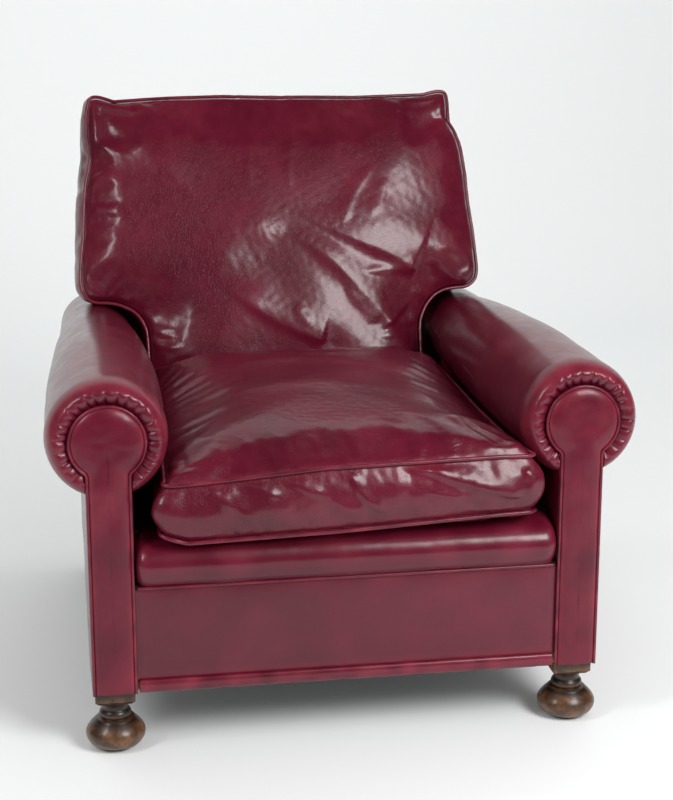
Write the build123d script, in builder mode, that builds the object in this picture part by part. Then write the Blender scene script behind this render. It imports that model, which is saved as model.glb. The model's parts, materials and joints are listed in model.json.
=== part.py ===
from build123d import *
import math
import os

# Deep leather armchair with scroll arms, a loose seat cushion, a loose back cushion and turned bun feet.
# Millimetres, +Z up, the chair faces -Y. The origin is on the floor under the middle of the chair.
# A "reach" is a distance behind the plane of the two arm fronts.

os.makedirs("parts", exist_ok=True)

# Main places
arm_centre = 353.5
facing_width = 67.0
leg_height = 99.0
deck_height = 337.7
scroll_height = 488.5
rear_outer_half = 376.0
rear_inner_half = 292.0
frame_bottom_reach = 845.0
frame_top_height = 797.0
rake = 21.5

# Clearances and leather
soft_gap = 0.3
leather = 3.3
cut_over = 5.0

# Feet
block_side = 60.0
block_height = 23.0
block_chamfer = 5.0
collar_set_in = 0.4
collar_waist = 20.9
collar_height = 14.0
neck_radius = 19.8
bead_radius = 24.3
bead_height = 12.6
step_radius = 27.6
step_height = 1.6
bun_top_radius = 29.0
bun_shoulder_radius = 39.6
bun_radius = 45.1
bun_lower_radius = 41.6
base_radius = 27.0
bun_shoulder_share = 0.76
bun_belly_share = 0.5
bun_lower_share = 0.26
spigot_radius = 11.0
spigot_length = 24.0
front_foot_reach = 41.5
rear_foot_half = 330.0
rear_foot_reach = 812.0

# Wooden frame
stump_front_reach = 12.0
stump_depth = 50.0
stump_head_radius = 57.0
rail_height = 110.0
rail_thickness = 28.0
post_front_reach = 796.0
post_half_inner = 334.5
upright_thickness = 40.0
arm_board_height = 420.0
arm_board_thickness = 25.0
tuck_rail_height = 37.0
tuck_rail_thickness = 20.0
block_leg = 70.0
block_rise = 60.0
back_rail_depth = 24.0
upright_top_depth = 20.9
back_rail_rise = 45.0
back_tuck_clearance = 12.3
dowel_radius = 5.0
dowel_length = 60.0
dowel_spacing = 50.0

# Springing
web_thickness = 2.5
web_width = 50.0
web_spacing = 110.0
web_rows = 5
back_web_spacing = 125.0
back_web_rows = 4
web_lap = 12.0
spring_radius = 38.0
spring_wire = 2.0
spring_turns = 5
spring_spacing = 180.0
spring_row_spacing = 210.0
spring_first_reach = 190.0
hessian_thickness = 1.2
deck_pad_thickness = 42.0
deck_cover_thickness = 3.0
deck_front_reach = 60.0
dust_cover_thickness = 1.5
dust_cover_side_half = 368.0
foot_clearance = 4.0
dust_cover_front_reach = 16.0
dust_cover_rear_reach = 835.0
tack_radius = 4.0
tack_height = 1.2
tack_inset = 8.0
tack_rows = 9

# Scroll arm behind its pleated front: how far it draws in, drops and tapers at four reaches
roll_front_reach = 42.0
roll_radius = 90.0
roll_quarter_reach = 300.0
roll_quarter_draw = 6.5
roll_quarter_drop = 1.5
roll_quarter_taper = 0.5
roll_middle_reach = 560.0
roll_middle_draw = 10.5
roll_middle_drop = 10.5
roll_middle_taper = 11.0
roll_back_reach = 720.0
roll_back_draw = 11.5
roll_back_drop = 18.5
roll_back_taper = 23.0
roll_end_reach = 960.0
roll_end_draw = 12.5
roll_end_drop = 27.5
roll_end_taper = 31.0

# Arm front
disc_radius = 57.8
piping_radius = 2.6
facing_crown = 4.0
facing_round = 3.6
neck_fillet = 9.0
pleat_count = 26
pleat_turn = 3.0
pleat_radius = 1.7
pleat_length = 22.0
ring_round = 28.0
wall_pad = 14.0
wall_board = 3.5

# Front of the seat
moulding_height = 20.0
moulding_nose = 2.0
panel_reach = 5.5
panel_thickness = 2.5
panel_top = 261.0
lip_seam_height = 266.2
lip_nose = 14.0
lip_nose_height = 296.0
lip_shoulder_reach = 24.0
lip_shoulder_height = 333.0
lip_end_round = 9.0
lip_end_shares = ((0, 0.9), (0.13, 0.5), (0.4, 0.2), (1, 0))
lip_piping_reach = 3.0

# Seat cushion
cushion_piping = 3.2
seat_overhang = 20.0
seat_bulge = 8.0
seat_front_half = 286.0
seat_rear_half = 270.0
seat_top_half = 277.0
seat_rear_top_half = 266.0
seat_rear_reach = 622.0
seat_corner = 24.0
seat_draw = 5.0
seat_draw_round = 1500.0
seat_piping_rise = 9.0
seat_boxing = 88.0
seat_crown = 62.0
seat_floor_inset = 22.0
seat_crown_shares = ((0.09, 0.40), (0.26, 0.72), (0.48, 0.93), (0.72, 1.0))

# Back cushion, drawn on a plane that leans back: across, and up from the deck along the lean
back_reach = 641.0
back_thickness = 105.0
back_rise = 11.0
back_low_half = 252.0
back_notch_lean = 4.0
back_ear_half = 371.0
back_ear_gap = 7.0
back_mid_half = 364.0
back_mid_rise = 430.0
back_tip_half = 337.0
back_tip_rise = 609.0
back_top_sag = 12.0
back_rear_lift = 39.0
back_low_round = 24.0
back_notch_round = 74.0
back_ear_round = 30.0
back_side_round = 420.0
back_tip_round = 9.0
back_top_round = 900.0
back_bulge = 5.0
back_crown = 46.0
back_centre_rise = 330.0
back_crown_shares = ((0.94, 0.34), (0.82, 0.66), (0.62, 0.9), (0.4, 1.0))

# Back of the frame
pad_low_depth = 46.0
pad_top_depth = 20.0
back_cover_thickness = 2.5
back_pad_drop = 37.7
back_frame_half = 338.0
back_corner_round = 8.0
outside_low_height = 428.0

lean = math.radians(rake)
overhang = seat_overhang + seat_bulge + cushion_piping
cushion_foot_reach = back_reach + (back_thickness + soft_gap) / math.cos(lean)
pad_top_reach = cushion_foot_reach + (frame_top_height - deck_height) * math.tan(lean)
frame_top_reach = pad_top_reach + pad_top_depth + upright_top_depth
frame_back_reach = frame_top_reach + leather
front_y = (overhang - frame_back_reach) / 2
back_tuck_height = deck_height + back_tuck_clearance
back_pad_bottom = deck_height - back_pad_drop
sides = (("left", -1), ("right", 1))
outer_front = arm_centre + facing_width / 2
inner_front = arm_centre - facing_width / 2


def outer_half(reach):
    """Half width of the chair outside its arm panels."""
    return outer_front + (rear_outer_half - outer_front) * reach / frame_bottom_reach


def inner_half(reach):
    """Half width of the room between the inner arm walls."""
    return inner_front + (rear_inner_half - inner_front) * reach / frame_bottom_reach


stump_back_reach = stump_front_reach + stump_depth
stump_width = 2 * (outer_half(stump_back_reach) - wall_board - arm_centre)


def rear_reach(height):
    """Reach of the wooden frame's sloping rear edge at a height."""
    slope = (frame_top_reach - frame_bottom_reach) / (frame_top_height - leg_height)
    return frame_bottom_reach + (height - leg_height) * slope


def pad_front_reach(height):
    """Reach of the leaning face that the back cushion rests on."""
    return cushion_foot_reach + (height - deck_height) * math.tan(lean)


def upright_front_reach(height):
    """Reach of the front edge of the back uprights above the deck."""
    share = (height - deck_height) / (frame_top_height - deck_height)
    depth = pad_low_depth + (pad_top_depth - pad_low_depth) * share
    return pad_front_reach(height) + depth


def side_profile(*points):
    """Closed outline in a side view, from pairs of reach and height."""
    return Polyline(*[(front_y + reach, height) for reach, height in points], close=True)


def wall(reach_from, reach_to, outside, inside, sign):
    """Plan outline between two functions of reach, on one side of the chair."""
    return Polyline(
        (sign * outside(reach_from), front_y + reach_from),
        (sign * outside(reach_to), front_y + reach_to),
        (sign * inside(reach_to), front_y + reach_to),
        (sign * inside(reach_from), front_y + reach_from),
        close=True,
    )


def roll_stations(sign, inset):
    """Planes and radii of the arm roll, from the front to past the back."""
    changes = (
        (roll_front_reach, 0, 0, 0),
        (roll_quarter_reach, roll_quarter_draw, roll_quarter_drop, roll_quarter_taper),
        (roll_middle_reach, roll_middle_draw, roll_middle_drop, roll_middle_taper),
        (roll_back_reach, roll_back_draw, roll_back_drop, roll_back_taper),
        (roll_end_reach, roll_end_draw, roll_end_drop, roll_end_taper),
    )
    stations = []
    for reach, draw, drop, taper in changes:
        middle = (sign * (arm_centre - draw), front_y + reach, scroll_height - drop)
        stations.append((Plane(middle, (1, 0, 0), (0, 1, 0)), roll_radius - taper - inset))
    return stations


def roll_solid(sign, inset):
    """The arm roll as a solid, drawn in by an inset."""
    sections = [plane * Circle(radius) for plane, radius in roll_stations(sign, inset)]
    return loft(sections, ruled=True, mode=Mode.PRIVATE)


def behind_frame():
    """Everything behind the frame's sloping rear edge."""
    height = frame_top_height + roll_radius
    points = [
        (front_y + rear_reach(0), 0),
        (front_y + rear_reach(height), height),
        (front_y + rear_reach(0) + frame_top_reach, height),
        (front_y + rear_reach(0) + frame_top_reach, 0),
    ]
    outline = Plane.YZ * make_face(Polyline(*points, close=True))
    return extrude(outline, amount=frame_top_reach, both=True, mode=Mode.PRIVATE)


def back_zone():
    """The space of the padded back frame, from its leaning face rearwards."""
    band = arm_board_height + arm_board_thickness
    top = frame_top_height + roll_radius
    zones = []
    for low, high, half in ((rail_height + leg_height, band, post_half_inner), (band, top, back_frame_half)):
        points = [
            (front_y + pad_front_reach(low), low),
            (front_y + pad_front_reach(high), high),
            (front_y + 2 * frame_top_reach, high),
            (front_y + 2 * frame_top_reach, low),
        ]
        outline = Plane.YZ * make_face(Polyline(*points, close=True))
        zones.append(extrude(outline, amount=half, both=True, mode=Mode.PRIVATE))
    return zones[0] + zones[1]


def arm_board_outer(reach):
    """Outer half width of the arm boards, inside the outer wall."""
    return outer_half(reach) - wall_board


def arm_board_inner(reach):
    """Inner half width of the arm boards, outside the padded inner wall."""
    return inner_half(reach) + wall_pad


def keyhole_points(half_width, radius):
    """Tangent points of a keyhole outline whose neck is filleted, from its centre."""
    centre_x = half_width + neck_fillet
    reach = radius + neck_fillet
    centre_z = -math.sqrt(reach**2 - centre_x**2)
    on_disc = (centre_x * radius / reach, centre_z * radius / reach)
    angle = math.atan2(on_disc[1] - centre_z, on_disc[0] - centre_x)
    turn = (angle + math.pi) / 2
    middle = (centre_x + neck_fillet * math.cos(turn), centre_z + neck_fillet * math.sin(turn))
    return (half_width, centre_z), middle, on_disc


def keyhole_line(sign, half_width, radius):
    """The keyhole edge from the foot of one side, round the scroll, to the other foot."""
    on_side, middle, on_disc = keyhole_points(half_width, radius)
    across = sign * arm_centre
    Line((across - half_width, leg_height), (across - half_width, scroll_height + on_side[1]))
    ThreePointArc(
        (across - half_width, scroll_height + on_side[1]),
        (across - middle[0], scroll_height + middle[1]),
        (across - on_disc[0], scroll_height + on_disc[1]),
    )
    ThreePointArc(
        (across - on_disc[0], scroll_height + on_disc[1]),
        (across, scroll_height + radius),
        (across + on_disc[0], scroll_height + on_disc[1]),
    )
    ThreePointArc(
        (across + on_disc[0], scroll_height + on_disc[1]),
        (across + middle[0], scroll_height + middle[1]),
        (across + half_width, scroll_height + on_side[1]),
    )
    Line((across + half_width, scroll_height + on_side[1]), (across + half_width, leg_height))


# Turned feet: square block, collar, bead, step and bun, with a spigot that is glued into the post above
block_bottom = leg_height - block_height
collar_radius = block_side / 2 - block_chamfer - collar_set_in
collar_bottom = block_bottom - collar_height
bead_bottom = collar_bottom - bead_height
step_bottom = bead_bottom - step_height
foot_places = (
    ("front", front_foot_reach, arm_centre),
    ("rear", rear_foot_reach, rear_foot_half),
)
for end, reach, half in foot_places:
    for side, sign in sides:
        foot_plane = Plane((sign * half, front_y + reach, 0), (1, 0, 0), (0, -1, 0))
        block_plane = Plane((sign * half, front_y + reach, block_bottom))
        with BuildPart() as foot:
            with BuildSketch(foot_plane):
                with BuildLine():
                    Polyline((0, block_bottom), (0, 0), (base_radius, 0))
                    Spline(
                        (base_radius, 0),
                        (bun_lower_radius, step_bottom * bun_lower_share),
                        (bun_radius, step_bottom * bun_belly_share),
                        (bun_shoulder_radius, step_bottom * bun_shoulder_share),
                        (bun_top_radius, step_bottom),
                    )
                    Polyline(
                        (bun_top_radius, step_bottom),
                        (step_radius, step_bottom),
                        (step_radius, bead_bottom),
                        (neck_radius, bead_bottom),
                    )
                    ThreePointArc(
                        (neck_radius, bead_bottom),
                        (bead_radius, (bead_bottom + collar_bottom) / 2),
                        (neck_radius, collar_bottom),
                    )
                    ThreePointArc(
                        (neck_radius, collar_bottom),
                        (collar_waist, (collar_bottom + block_bottom) / 2),
                        (collar_radius, block_bottom),
                    )
                    Line((collar_radius, block_bottom), (0, block_bottom))
                make_face()
            revolve(axis=Axis((sign * half, front_y + reach, 0), (0, 0, 1)))
            with BuildSketch(block_plane):
                Rectangle(block_side, block_side)
            extrude(amount=block_height)
            straight = foot.edges().filter_by(GeomType.LINE)
            chamfer(straight.filter_by_position(Axis.Z, block_bottom, block_bottom), block_chamfer)
            with BuildSketch(block_plane.offset(block_height)):
                Circle(spigot_radius)
            extrude(amount=spigot_length)
        foot.part.label = f"{end}_foot_{side}"
        export_step(foot.part, f"parts/{foot.part.label}.step")

# Arm stumps: the front posts of the frame, whose round heads carry the scrolls
for side, sign in sides:
    with BuildPart() as stump:
        with BuildSketch(Plane.XZ.offset(-front_y - stump_front_reach)):
            with Locations((sign * arm_centre, scroll_height)):
                Circle(stump_head_radius)
            with Locations((sign * arm_centre, leg_height)):
                Rectangle(stump_width, scroll_height - leg_height, align=(Align.CENTER, Align.MIN))
        extrude(amount=-stump_depth)
        with Locations((sign * arm_centre, front_y + front_foot_reach, leg_height)):
            Cylinder(
                spigot_radius,
                spigot_length,
                align=(Align.CENTER, Align.CENTER, Align.MIN),
                mode=Mode.SUBTRACT,
            )
        for level in (-1, 1):
            height = leg_height + rail_height / 2 + level * dowel_spacing / 2
            across = sign * (arm_centre - stump_width / 2)
            with Locations((across, front_y + stump_front_reach + rail_thickness / 2, height)):
                Cylinder(dowel_radius, dowel_length, rotation=(0, 90, 0), mode=Mode.SUBTRACT)
    stump.part.label = f"arm_stump_{side}"
    export_step(stump.part, f"parts/{stump.part.label}.step")

# Front rail of the seat, doweled between the stumps
front_rail_half = arm_centre - stump_width / 2
with BuildPart() as front_rail:
    with Locations((0, front_y + stump_front_reach, leg_height)):
        Box(
            2 * front_rail_half,
            rail_thickness,
            rail_height,
            align=(Align.CENTER, Align.MIN, Align.MIN),
        )
    for side, sign in sides:
        for level in (-1, 1):
            height = leg_height + rail_height / 2 + level * dowel_spacing / 2
            with Locations((sign * front_rail_half, front_y + stump_front_reach + rail_thickness / 2, height)):
                Cylinder(dowel_radius, dowel_length, rotation=(0, 90, 0), mode=Mode.SUBTRACT)
front_rail.part.label = "front_rail"
export_step(front_rail.part, "parts/front_rail.step")

# Side rails run back from the stumps to the rear arm posts
for side, sign in sides:
    with BuildPart() as side_rail:
        with BuildSketch(Plane.XY.offset(leg_height)):
            with BuildLine():
                wall(
                    stump_back_reach,
                    post_front_reach,
                    lambda reach: outer_half(reach) - wall_board,
                    lambda reach: outer_half(reach) - wall_board - rail_thickness,
                    sign,
                )
            make_face()
        extrude(amount=rail_height)
    side_rail.part.label = f"side_rail_{side}"
    export_step(side_rail.part, f"parts/{side_rail.part.label}.step")

# Rear arm posts carry the back ends of the arm boards and take the rear feet
for side, sign in sides:
    with BuildPart() as rear_post:
        with BuildSketch(Plane.YZ.offset(sign * post_half_inner)):
            with BuildLine():
                side_profile(
                    (post_front_reach, leg_height),
                    (rear_reach(leg_height), leg_height),
                    (rear_reach(arm_board_height), arm_board_height),
                    (post_front_reach, arm_board_height),
                )
            make_face()
        extrude(amount=sign * (outer_half(post_front_reach) - post_half_inner))
        with BuildSketch(Plane.XY.offset(leg_height)):
            with BuildLine():
                wall(
                    post_front_reach - cut_over,
                    frame_top_reach,
                    lambda reach: outer_half(reach) - wall_board,
                    lambda reach: post_half_inner - cut_over,
                    sign,
                )
            make_face()
        extrude(amount=arm_board_height, mode=Mode.INTERSECT)
        with Locations((sign * rear_foot_half, front_y + rear_foot_reach, leg_height)):
            Cylinder(
                spigot_radius,
                spigot_length,
                align=(Align.CENTER, Align.CENTER, Align.MIN),
                mode=Mode.SUBTRACT,
            )
    rear_post.part.label = f"rear_arm_post_{side}"
    export_step(rear_post.part, f"parts/{rear_post.part.label}.step")

# Back uprights: straight up to the deck, then cut to the lean of the back
upright_half = post_half_inner - upright_thickness / 2
back_rail_reach = post_front_reach + rail_thickness / 2
top_rail_low = frame_top_height - back_rail_rise
for side, sign in sides:
    with BuildPart() as upright:
        with BuildSketch(Plane.YZ.offset(sign * upright_half)):
            with BuildLine():
                side_profile(
                    (post_front_reach, leg_height),
                    (rear_reach(leg_height), leg_height),
                    (rear_reach(frame_top_height), frame_top_height),
                    (upright_front_reach(frame_top_height), frame_top_height),
                    (upright_front_reach(deck_height), deck_height),
                    (post_front_reach, deck_height),
                )
            make_face()
        extrude(amount=upright_thickness / 2, both=True)
        for level in (-1, 1):
            height = leg_height + rail_height / 2 + level * dowel_spacing / 2
            across = sign * (post_half_inner - upright_thickness)
            with Locations((across, front_y + back_rail_reach, height)):
                Cylinder(dowel_radius, dowel_length, rotation=(0, 90, 0), mode=Mode.SUBTRACT)
        with Locations((sign * rear_foot_half, front_y + rear_foot_reach, leg_height)):
            Cylinder(
                spigot_radius,
                spigot_length,
                align=(Align.CENTER, Align.CENTER, Align.MIN),
                mode=Mode.SUBTRACT,
            )
    upright.part.label = f"back_upright_{side}"
    export_step(upright.part, f"parts/{upright.part.label}.step")

# Back rail of the seat, between the uprights
back_rail_half = post_half_inner - upright_thickness
with BuildPart() as back_rail:
    with Locations((0, front_y + post_front_reach, leg_height)):
        Box(
            2 * back_rail_half,
            rail_thickness,
            rail_height,
            align=(Align.CENTER, Align.MIN, Align.MIN),
        )
    for side, sign in sides:
        for level in (-1, 1):
            height = leg_height + rail_height / 2 + level * dowel_spacing / 2
            with Locations((sign * back_rail_half, front_y + back_rail_reach, height)):
                Cylinder(dowel_radius, dowel_length, rotation=(0, 90, 0), mode=Mode.SUBTRACT)
back_rail.part.label = "back_rail"
export_step(back_rail.part, "parts/back_rail.step")

# Dowels of the front and back rails
with BuildPart() as dowels:
    for side, sign in sides:
        for level in (-1, 1):
            height = leg_height + rail_height / 2 + level * dowel_spacing / 2
            front_place = (sign * front_rail_half, front_y + stump_front_reach + rail_thickness / 2, height)
            back_place = (sign * back_rail_half, front_y + back_rail_reach, height)
            with Locations(front_place, back_place):
                Cylinder(dowel_radius, dowel_length, rotation=(0, 90, 0))
dowels.part.label = "rail_dowels"
export_step(dowels.part, "parts/rail_dowels.step")

# Upper cross rails of the back: one at the deck, one at the top
behind = behind_frame()
cross_rails = (
    ("back_tuck_rail", back_tuck_height),
    ("back_top_rail", top_rail_low),
)
for name, low in cross_rails:
    high = low + back_rail_rise
    with BuildPart() as cross_rail:
        with BuildSketch(Plane.YZ):
            with BuildLine():
                side_profile(
                    (upright_front_reach(low), low),
                    (upright_front_reach(low) + back_rail_depth, low),
                    (upright_front_reach(high) + back_rail_depth, high),
                    (upright_front_reach(high), high),
                )
            make_face()
        extrude(amount=back_rail_half, both=True)
        add(behind, mode=Mode.SUBTRACT)
    cross_rail.part.label = name
    export_step(cross_rail.part, f"parts/{name}.step")

# Glued corner blocks of the seat frame
with BuildPart() as corner_blocks:
    with BuildSketch(Plane.XY.offset(leg_height)):
        for side, sign in sides:
            front_inner = front_y + stump_front_reach + rail_thickness
            with BuildLine():
                Polyline(
                    (sign * front_rail_half, front_inner),
                    (sign * (front_rail_half - block_leg), front_inner),
                    (sign * front_rail_half, front_inner + block_leg),
                    close=True,
                )
            make_face()
            rear_side = outer_half(post_front_reach) - wall_board - rail_thickness
            with BuildLine():
                Polyline(
                    (sign * rear_side, front_y + post_front_reach),
                    (sign * (rear_side - block_leg), front_y + post_front_reach),
                    (sign * rear_side, front_y + post_front_reach - block_leg),
                    close=True,
                )
            make_face()
    extrude(amount=block_rise)
corner_blocks.part.label = "corner_blocks"
export_step(corner_blocks.part, "parts/corner_blocks.step")

# Arm boards lie on the rear posts, behind the stump heads. The back frame's space is cut out of the arms
back_room = back_zone()
for side, sign in sides:
    with BuildPart() as arm_board:
        with BuildSketch(Plane.XY.offset(arm_board_height)):
            with BuildLine():
                wall(stump_back_reach, frame_top_reach, arm_board_outer, arm_board_inner, sign)
            make_face()
        extrude(amount=arm_board_thickness)
        add(back_room, mode=Mode.SUBTRACT)
        add(behind, mode=Mode.SUBTRACT)
    arm_board.part.label = f"arm_board_{side}"
    export_step(arm_board.part, f"parts/{arm_board.part.label}.step")

# Tuck rails close the foot of the inner arm walls at the deck
for side, sign in sides:
    with BuildPart() as tuck_rail:
        with BuildSketch(Plane.XY.offset(deck_height - tuck_rail_height)):
            with BuildLine():
                wall(
                    stump_back_reach,
                    post_front_reach,
                    lambda reach: inner_half(reach) + wall_pad + tuck_rail_thickness,
                    lambda reach: inner_half(reach) + wall_pad,
                    sign,
                )
            make_face()
        extrude(amount=tuck_rail_height)
        add(back_room, mode=Mode.SUBTRACT)
    tuck_rail.part.label = f"arm_tuck_rail_{side}"
    export_step(tuck_rail.part, f"parts/{tuck_rail.part.label}.step")

# Seat webbing under the rails: lengthwise straps above crosswise ones
web_middle_reach = (stump_front_reach + post_front_reach + rail_thickness) / 2
with BuildPart() as long_webbing:
    with Locations((0, front_y + web_middle_reach, leg_height - web_thickness / 2)):
        with GridLocations(web_spacing, 0, web_rows, 1):
            Box(
                web_width,
                post_front_reach + rail_thickness - stump_front_reach - 2 * web_lap,
                web_thickness,
            )
long_webbing.part.label = "seat_webbing_lengthwise"
export_step(long_webbing.part, "parts/seat_webbing_lengthwise.step")

with BuildPart() as cross_webbing:
    with Locations((0, front_y + web_middle_reach, leg_height - 3 * web_thickness / 2)):
        with GridLocations(0, web_spacing + web_lap, 1, web_rows):
            Box(2 * (rear_outer_half - web_lap), web_width, web_thickness)
cross_webbing.part.label = "seat_webbing_crosswise"
export_step(cross_webbing.part, "parts/seat_webbing_crosswise.step")

# Coil springs stand on the webbing and carry the hessian
deck_pad_bottom = deck_height - deck_cover_thickness - deck_pad_thickness
hessian_bottom = deck_pad_bottom - hessian_thickness
coil_height = hessian_bottom - leg_height - 2 * spring_wire
coil_path = Helix(coil_height / spring_turns, coil_height, spring_radius)
coil_plane = Plane(origin=coil_path @ 0, z_dir=coil_path % 0)
coil = sweep(coil_plane * Circle(spring_wire), path=coil_path, is_frenet=True, mode=Mode.PRIVATE)
spring_middle_reach = spring_first_reach + spring_row_spacing
with BuildPart() as springs:
    with Locations((0, front_y + spring_middle_reach, leg_height + spring_wire)):
        with GridLocations(spring_spacing, spring_row_spacing, 3, 3):
            add(coil)
springs.part.label = "seat_springs"
export_step(springs.part, "parts/seat_springs.step")

# Hessian, stuffing and cover of the seat deck
deck_rear_reach = pad_front_reach(back_pad_bottom) - soft_gap
deck_layers = (
    ("seat_hessian", hessian_bottom, hessian_thickness),
    ("seat_deck_pad", deck_pad_bottom, deck_pad_thickness),
    ("seat_deck_cover", deck_height - deck_cover_thickness, deck_cover_thickness),
)
for name, low, thickness in deck_layers:
    with BuildPart() as layer:
        with BuildSketch(Plane.XY.offset(low)):
            for side, sign in sides:
                with BuildLine():
                    wall(
                        deck_front_reach + soft_gap,
                        deck_rear_reach,
                        lambda reach: inner_half(reach) - soft_gap,
                        lambda reach: 0,
                        sign,
                    )
                make_face()
        extrude(amount=thickness)
    layer.part.label = name
    export_step(layer.part, f"parts/{name}.step")

# Dust cover of dark cloth under the seat, cut out round the feet, with its tacks
dust_cover_top = leg_height - 2 * web_thickness
dust_cover_depth = dust_cover_rear_reach - dust_cover_front_reach
dust_cover_middle = front_y + (dust_cover_rear_reach + dust_cover_front_reach) / 2
foot_room = block_side / 2 + foot_clearance
dust_cover_half = rear_foot_half - foot_room
dust_side_depth = rear_foot_reach - front_foot_reach - 2 * foot_room
dust_side_middle = front_y + (rear_foot_reach + front_foot_reach) / 2
with BuildPart() as dust_cover:
    with BuildSketch(Plane.XY.offset(dust_cover_top)):
        with Locations((0, dust_cover_middle)):
            Rectangle(2 * dust_cover_half, dust_cover_depth)
        with Locations((0, dust_side_middle)):
            Rectangle(2 * dust_cover_side_half, dust_side_depth)
    extrude(amount=-dust_cover_thickness)
dust_cover.part.label = "dust_cover"
export_step(dust_cover.part, "parts/dust_cover.step")

tack_across = 2 * (dust_cover_half - tack_inset)
tack_along = dust_cover_depth - 2 * tack_inset
with BuildPart() as tacks:
    with Locations((0, dust_cover_middle, dust_cover_top - dust_cover_thickness)):
        with GridLocations(tack_across / (tack_rows - 1), tack_along, tack_rows, 2):
            Cylinder(tack_radius, tack_height, align=(Align.CENTER, Align.CENTER, Align.MAX))
tacks.part.label = "dust_cover_tacks"
export_step(tacks.part, "parts/dust_cover_tacks.step")

# Back webbing: upright straps on the cross rails, crosswise straps before them on the uprights
web_low = (upright_front_reach(back_tuck_height), back_tuck_height)
web_high = (upright_front_reach(frame_top_height), frame_top_height)
web_lean = math.atan2(web_high[0] - web_low[0], web_high[1] - web_low[1])
web_length = math.hypot(web_high[0] - web_low[0], web_high[1] - web_low[1])
web_plane = Plane(
    (0, front_y + (web_low[0] + web_high[0]) / 2, (web_low[1] + web_high[1]) / 2),
    (1, 0, 0),
    (0, -math.cos(web_lean), math.sin(web_lean)),
)
with BuildPart() as upright_webbing:
    with BuildSketch(web_plane):
        with GridLocations(back_web_spacing, 0, back_web_rows, 1):
            Rectangle(web_width, web_length - 2 * web_lap)
    extrude(amount=web_thickness)
upright_webbing.part.label = "back_webbing_upright"
export_step(upright_webbing.part, "parts/back_webbing_upright.step")

with BuildPart() as back_cross_webbing:
    with BuildSketch(web_plane.offset(web_thickness)):
        with GridLocations(0, back_web_spacing, 1, back_web_rows - 1):
            Rectangle(2 * (post_half_inner - web_lap), web_width)
    extrude(amount=web_thickness)
back_cross_webbing.part.label = "back_webbing_crosswise"
export_step(back_cross_webbing.part, "parts/back_webbing_crosswise.step")

# Stuffing of the back between the webbing and the leaning cover
web_depth = 2 * web_thickness / math.cos(web_lean)
cover_depth = back_cover_thickness / math.cos(lean)
with BuildPart() as back_pad:
    with BuildSketch(Plane.YZ):
        with BuildLine():
            side_profile(
                (pad_front_reach(back_pad_bottom) + cover_depth, back_pad_bottom),
                (post_front_reach - web_depth, back_pad_bottom),
                (upright_front_reach(deck_height) - web_depth, deck_height),
                (upright_front_reach(frame_top_height) - web_depth, frame_top_height),
                (pad_front_reach(frame_top_height) + cover_depth, frame_top_height),
            )
        make_face()
    extrude(amount=post_half_inner, both=True)
back_pad.part.label = "back_pad"
export_step(back_pad.part, "parts/back_pad.step")

# Leather of the inside back, on the stuffing
with BuildPart() as inside_back:
    with BuildSketch(Plane.YZ):
        with BuildLine():
            side_profile(
                (pad_front_reach(back_pad_bottom), back_pad_bottom),
                (pad_front_reach(back_pad_bottom) + cover_depth, back_pad_bottom),
                (pad_front_reach(frame_top_height) + cover_depth, frame_top_height),
                (pad_front_reach(frame_top_height), frame_top_height),
            )
        make_face()
    extrude(amount=post_half_inner, both=True)
inside_back.part.label = "inside_back_cover"
export_step(inside_back.part, "parts/inside_back_cover.step")

# Leather band over the sides and top of the back frame, down to the arm boards
band_low = arm_board_height + arm_board_thickness
with BuildPart() as back_border:
    with BuildSketch(Plane.YZ):
        with BuildLine():
            side_profile(
                (pad_front_reach(band_low), band_low),
                (rear_reach(band_low), band_low),
                (rear_reach(frame_top_height + leather), frame_top_height + leather),
                (pad_front_reach(frame_top_height + leather), frame_top_height + leather),
            )
        make_face()
    extrude(amount=back_frame_half, both=True)
    with Locations((0, 0, frame_top_height)):
        Box(
            2 * post_half_inner,
            2 * frame_top_reach,
            2 * frame_top_height,
            align=(Align.CENTER, Align.CENTER, Align.MAX),
            mode=Mode.SUBTRACT,
        )
back_border.part.label = "back_border_leather"
export_step(back_border.part, "parts/back_border_leather.step")

# Outside back: one leather panel, wide behind the arms, round behind the rolls, narrow above
outside_rise = frame_top_height - leg_height
outside_lean = math.atan2(frame_top_reach - frame_bottom_reach, outside_rise)
outside_plane = Plane(
    (0, front_y + frame_bottom_reach, leg_height),
    (1, 0, 0),
    (0, -math.cos(outside_lean), math.sin(outside_lean)),
)
roll_end_height = scroll_height - roll_end_drop
roll_end_half = arm_centre - roll_end_draw
roll_end_share = (rear_reach(roll_end_height) - roll_back_reach) / (roll_end_reach - roll_back_reach)
roll_end_cap = roll_radius - roll_back_taper - (roll_end_taper - roll_back_taper) * roll_end_share
with BuildPart() as outside_back:
    with BuildSketch(outside_plane) as outside_sketch:
        Rectangle(
            2 * back_frame_half,
            (outside_rise + leather) / math.cos(outside_lean),
            align=(Align.CENTER, Align.MIN),
        )
        fillet(outside_sketch.vertices().group_by(Axis.Y)[-1], back_corner_round)
        Rectangle(
            2 * rear_outer_half,
            (outside_low_height - leg_height) / math.cos(outside_lean),
            align=(Align.CENTER, Align.MIN),
        )
        with Locations(
            (-roll_end_half, (roll_end_height - leg_height) / math.cos(outside_lean)),
            (roll_end_half, (roll_end_height - leg_height) / math.cos(outside_lean)),
        ):
            Circle(roll_end_cap)
    extrude(amount=-leather)
outside_back.part.label = "outside_back"
export_step(outside_back.part, "parts/outside_back.step")

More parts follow.
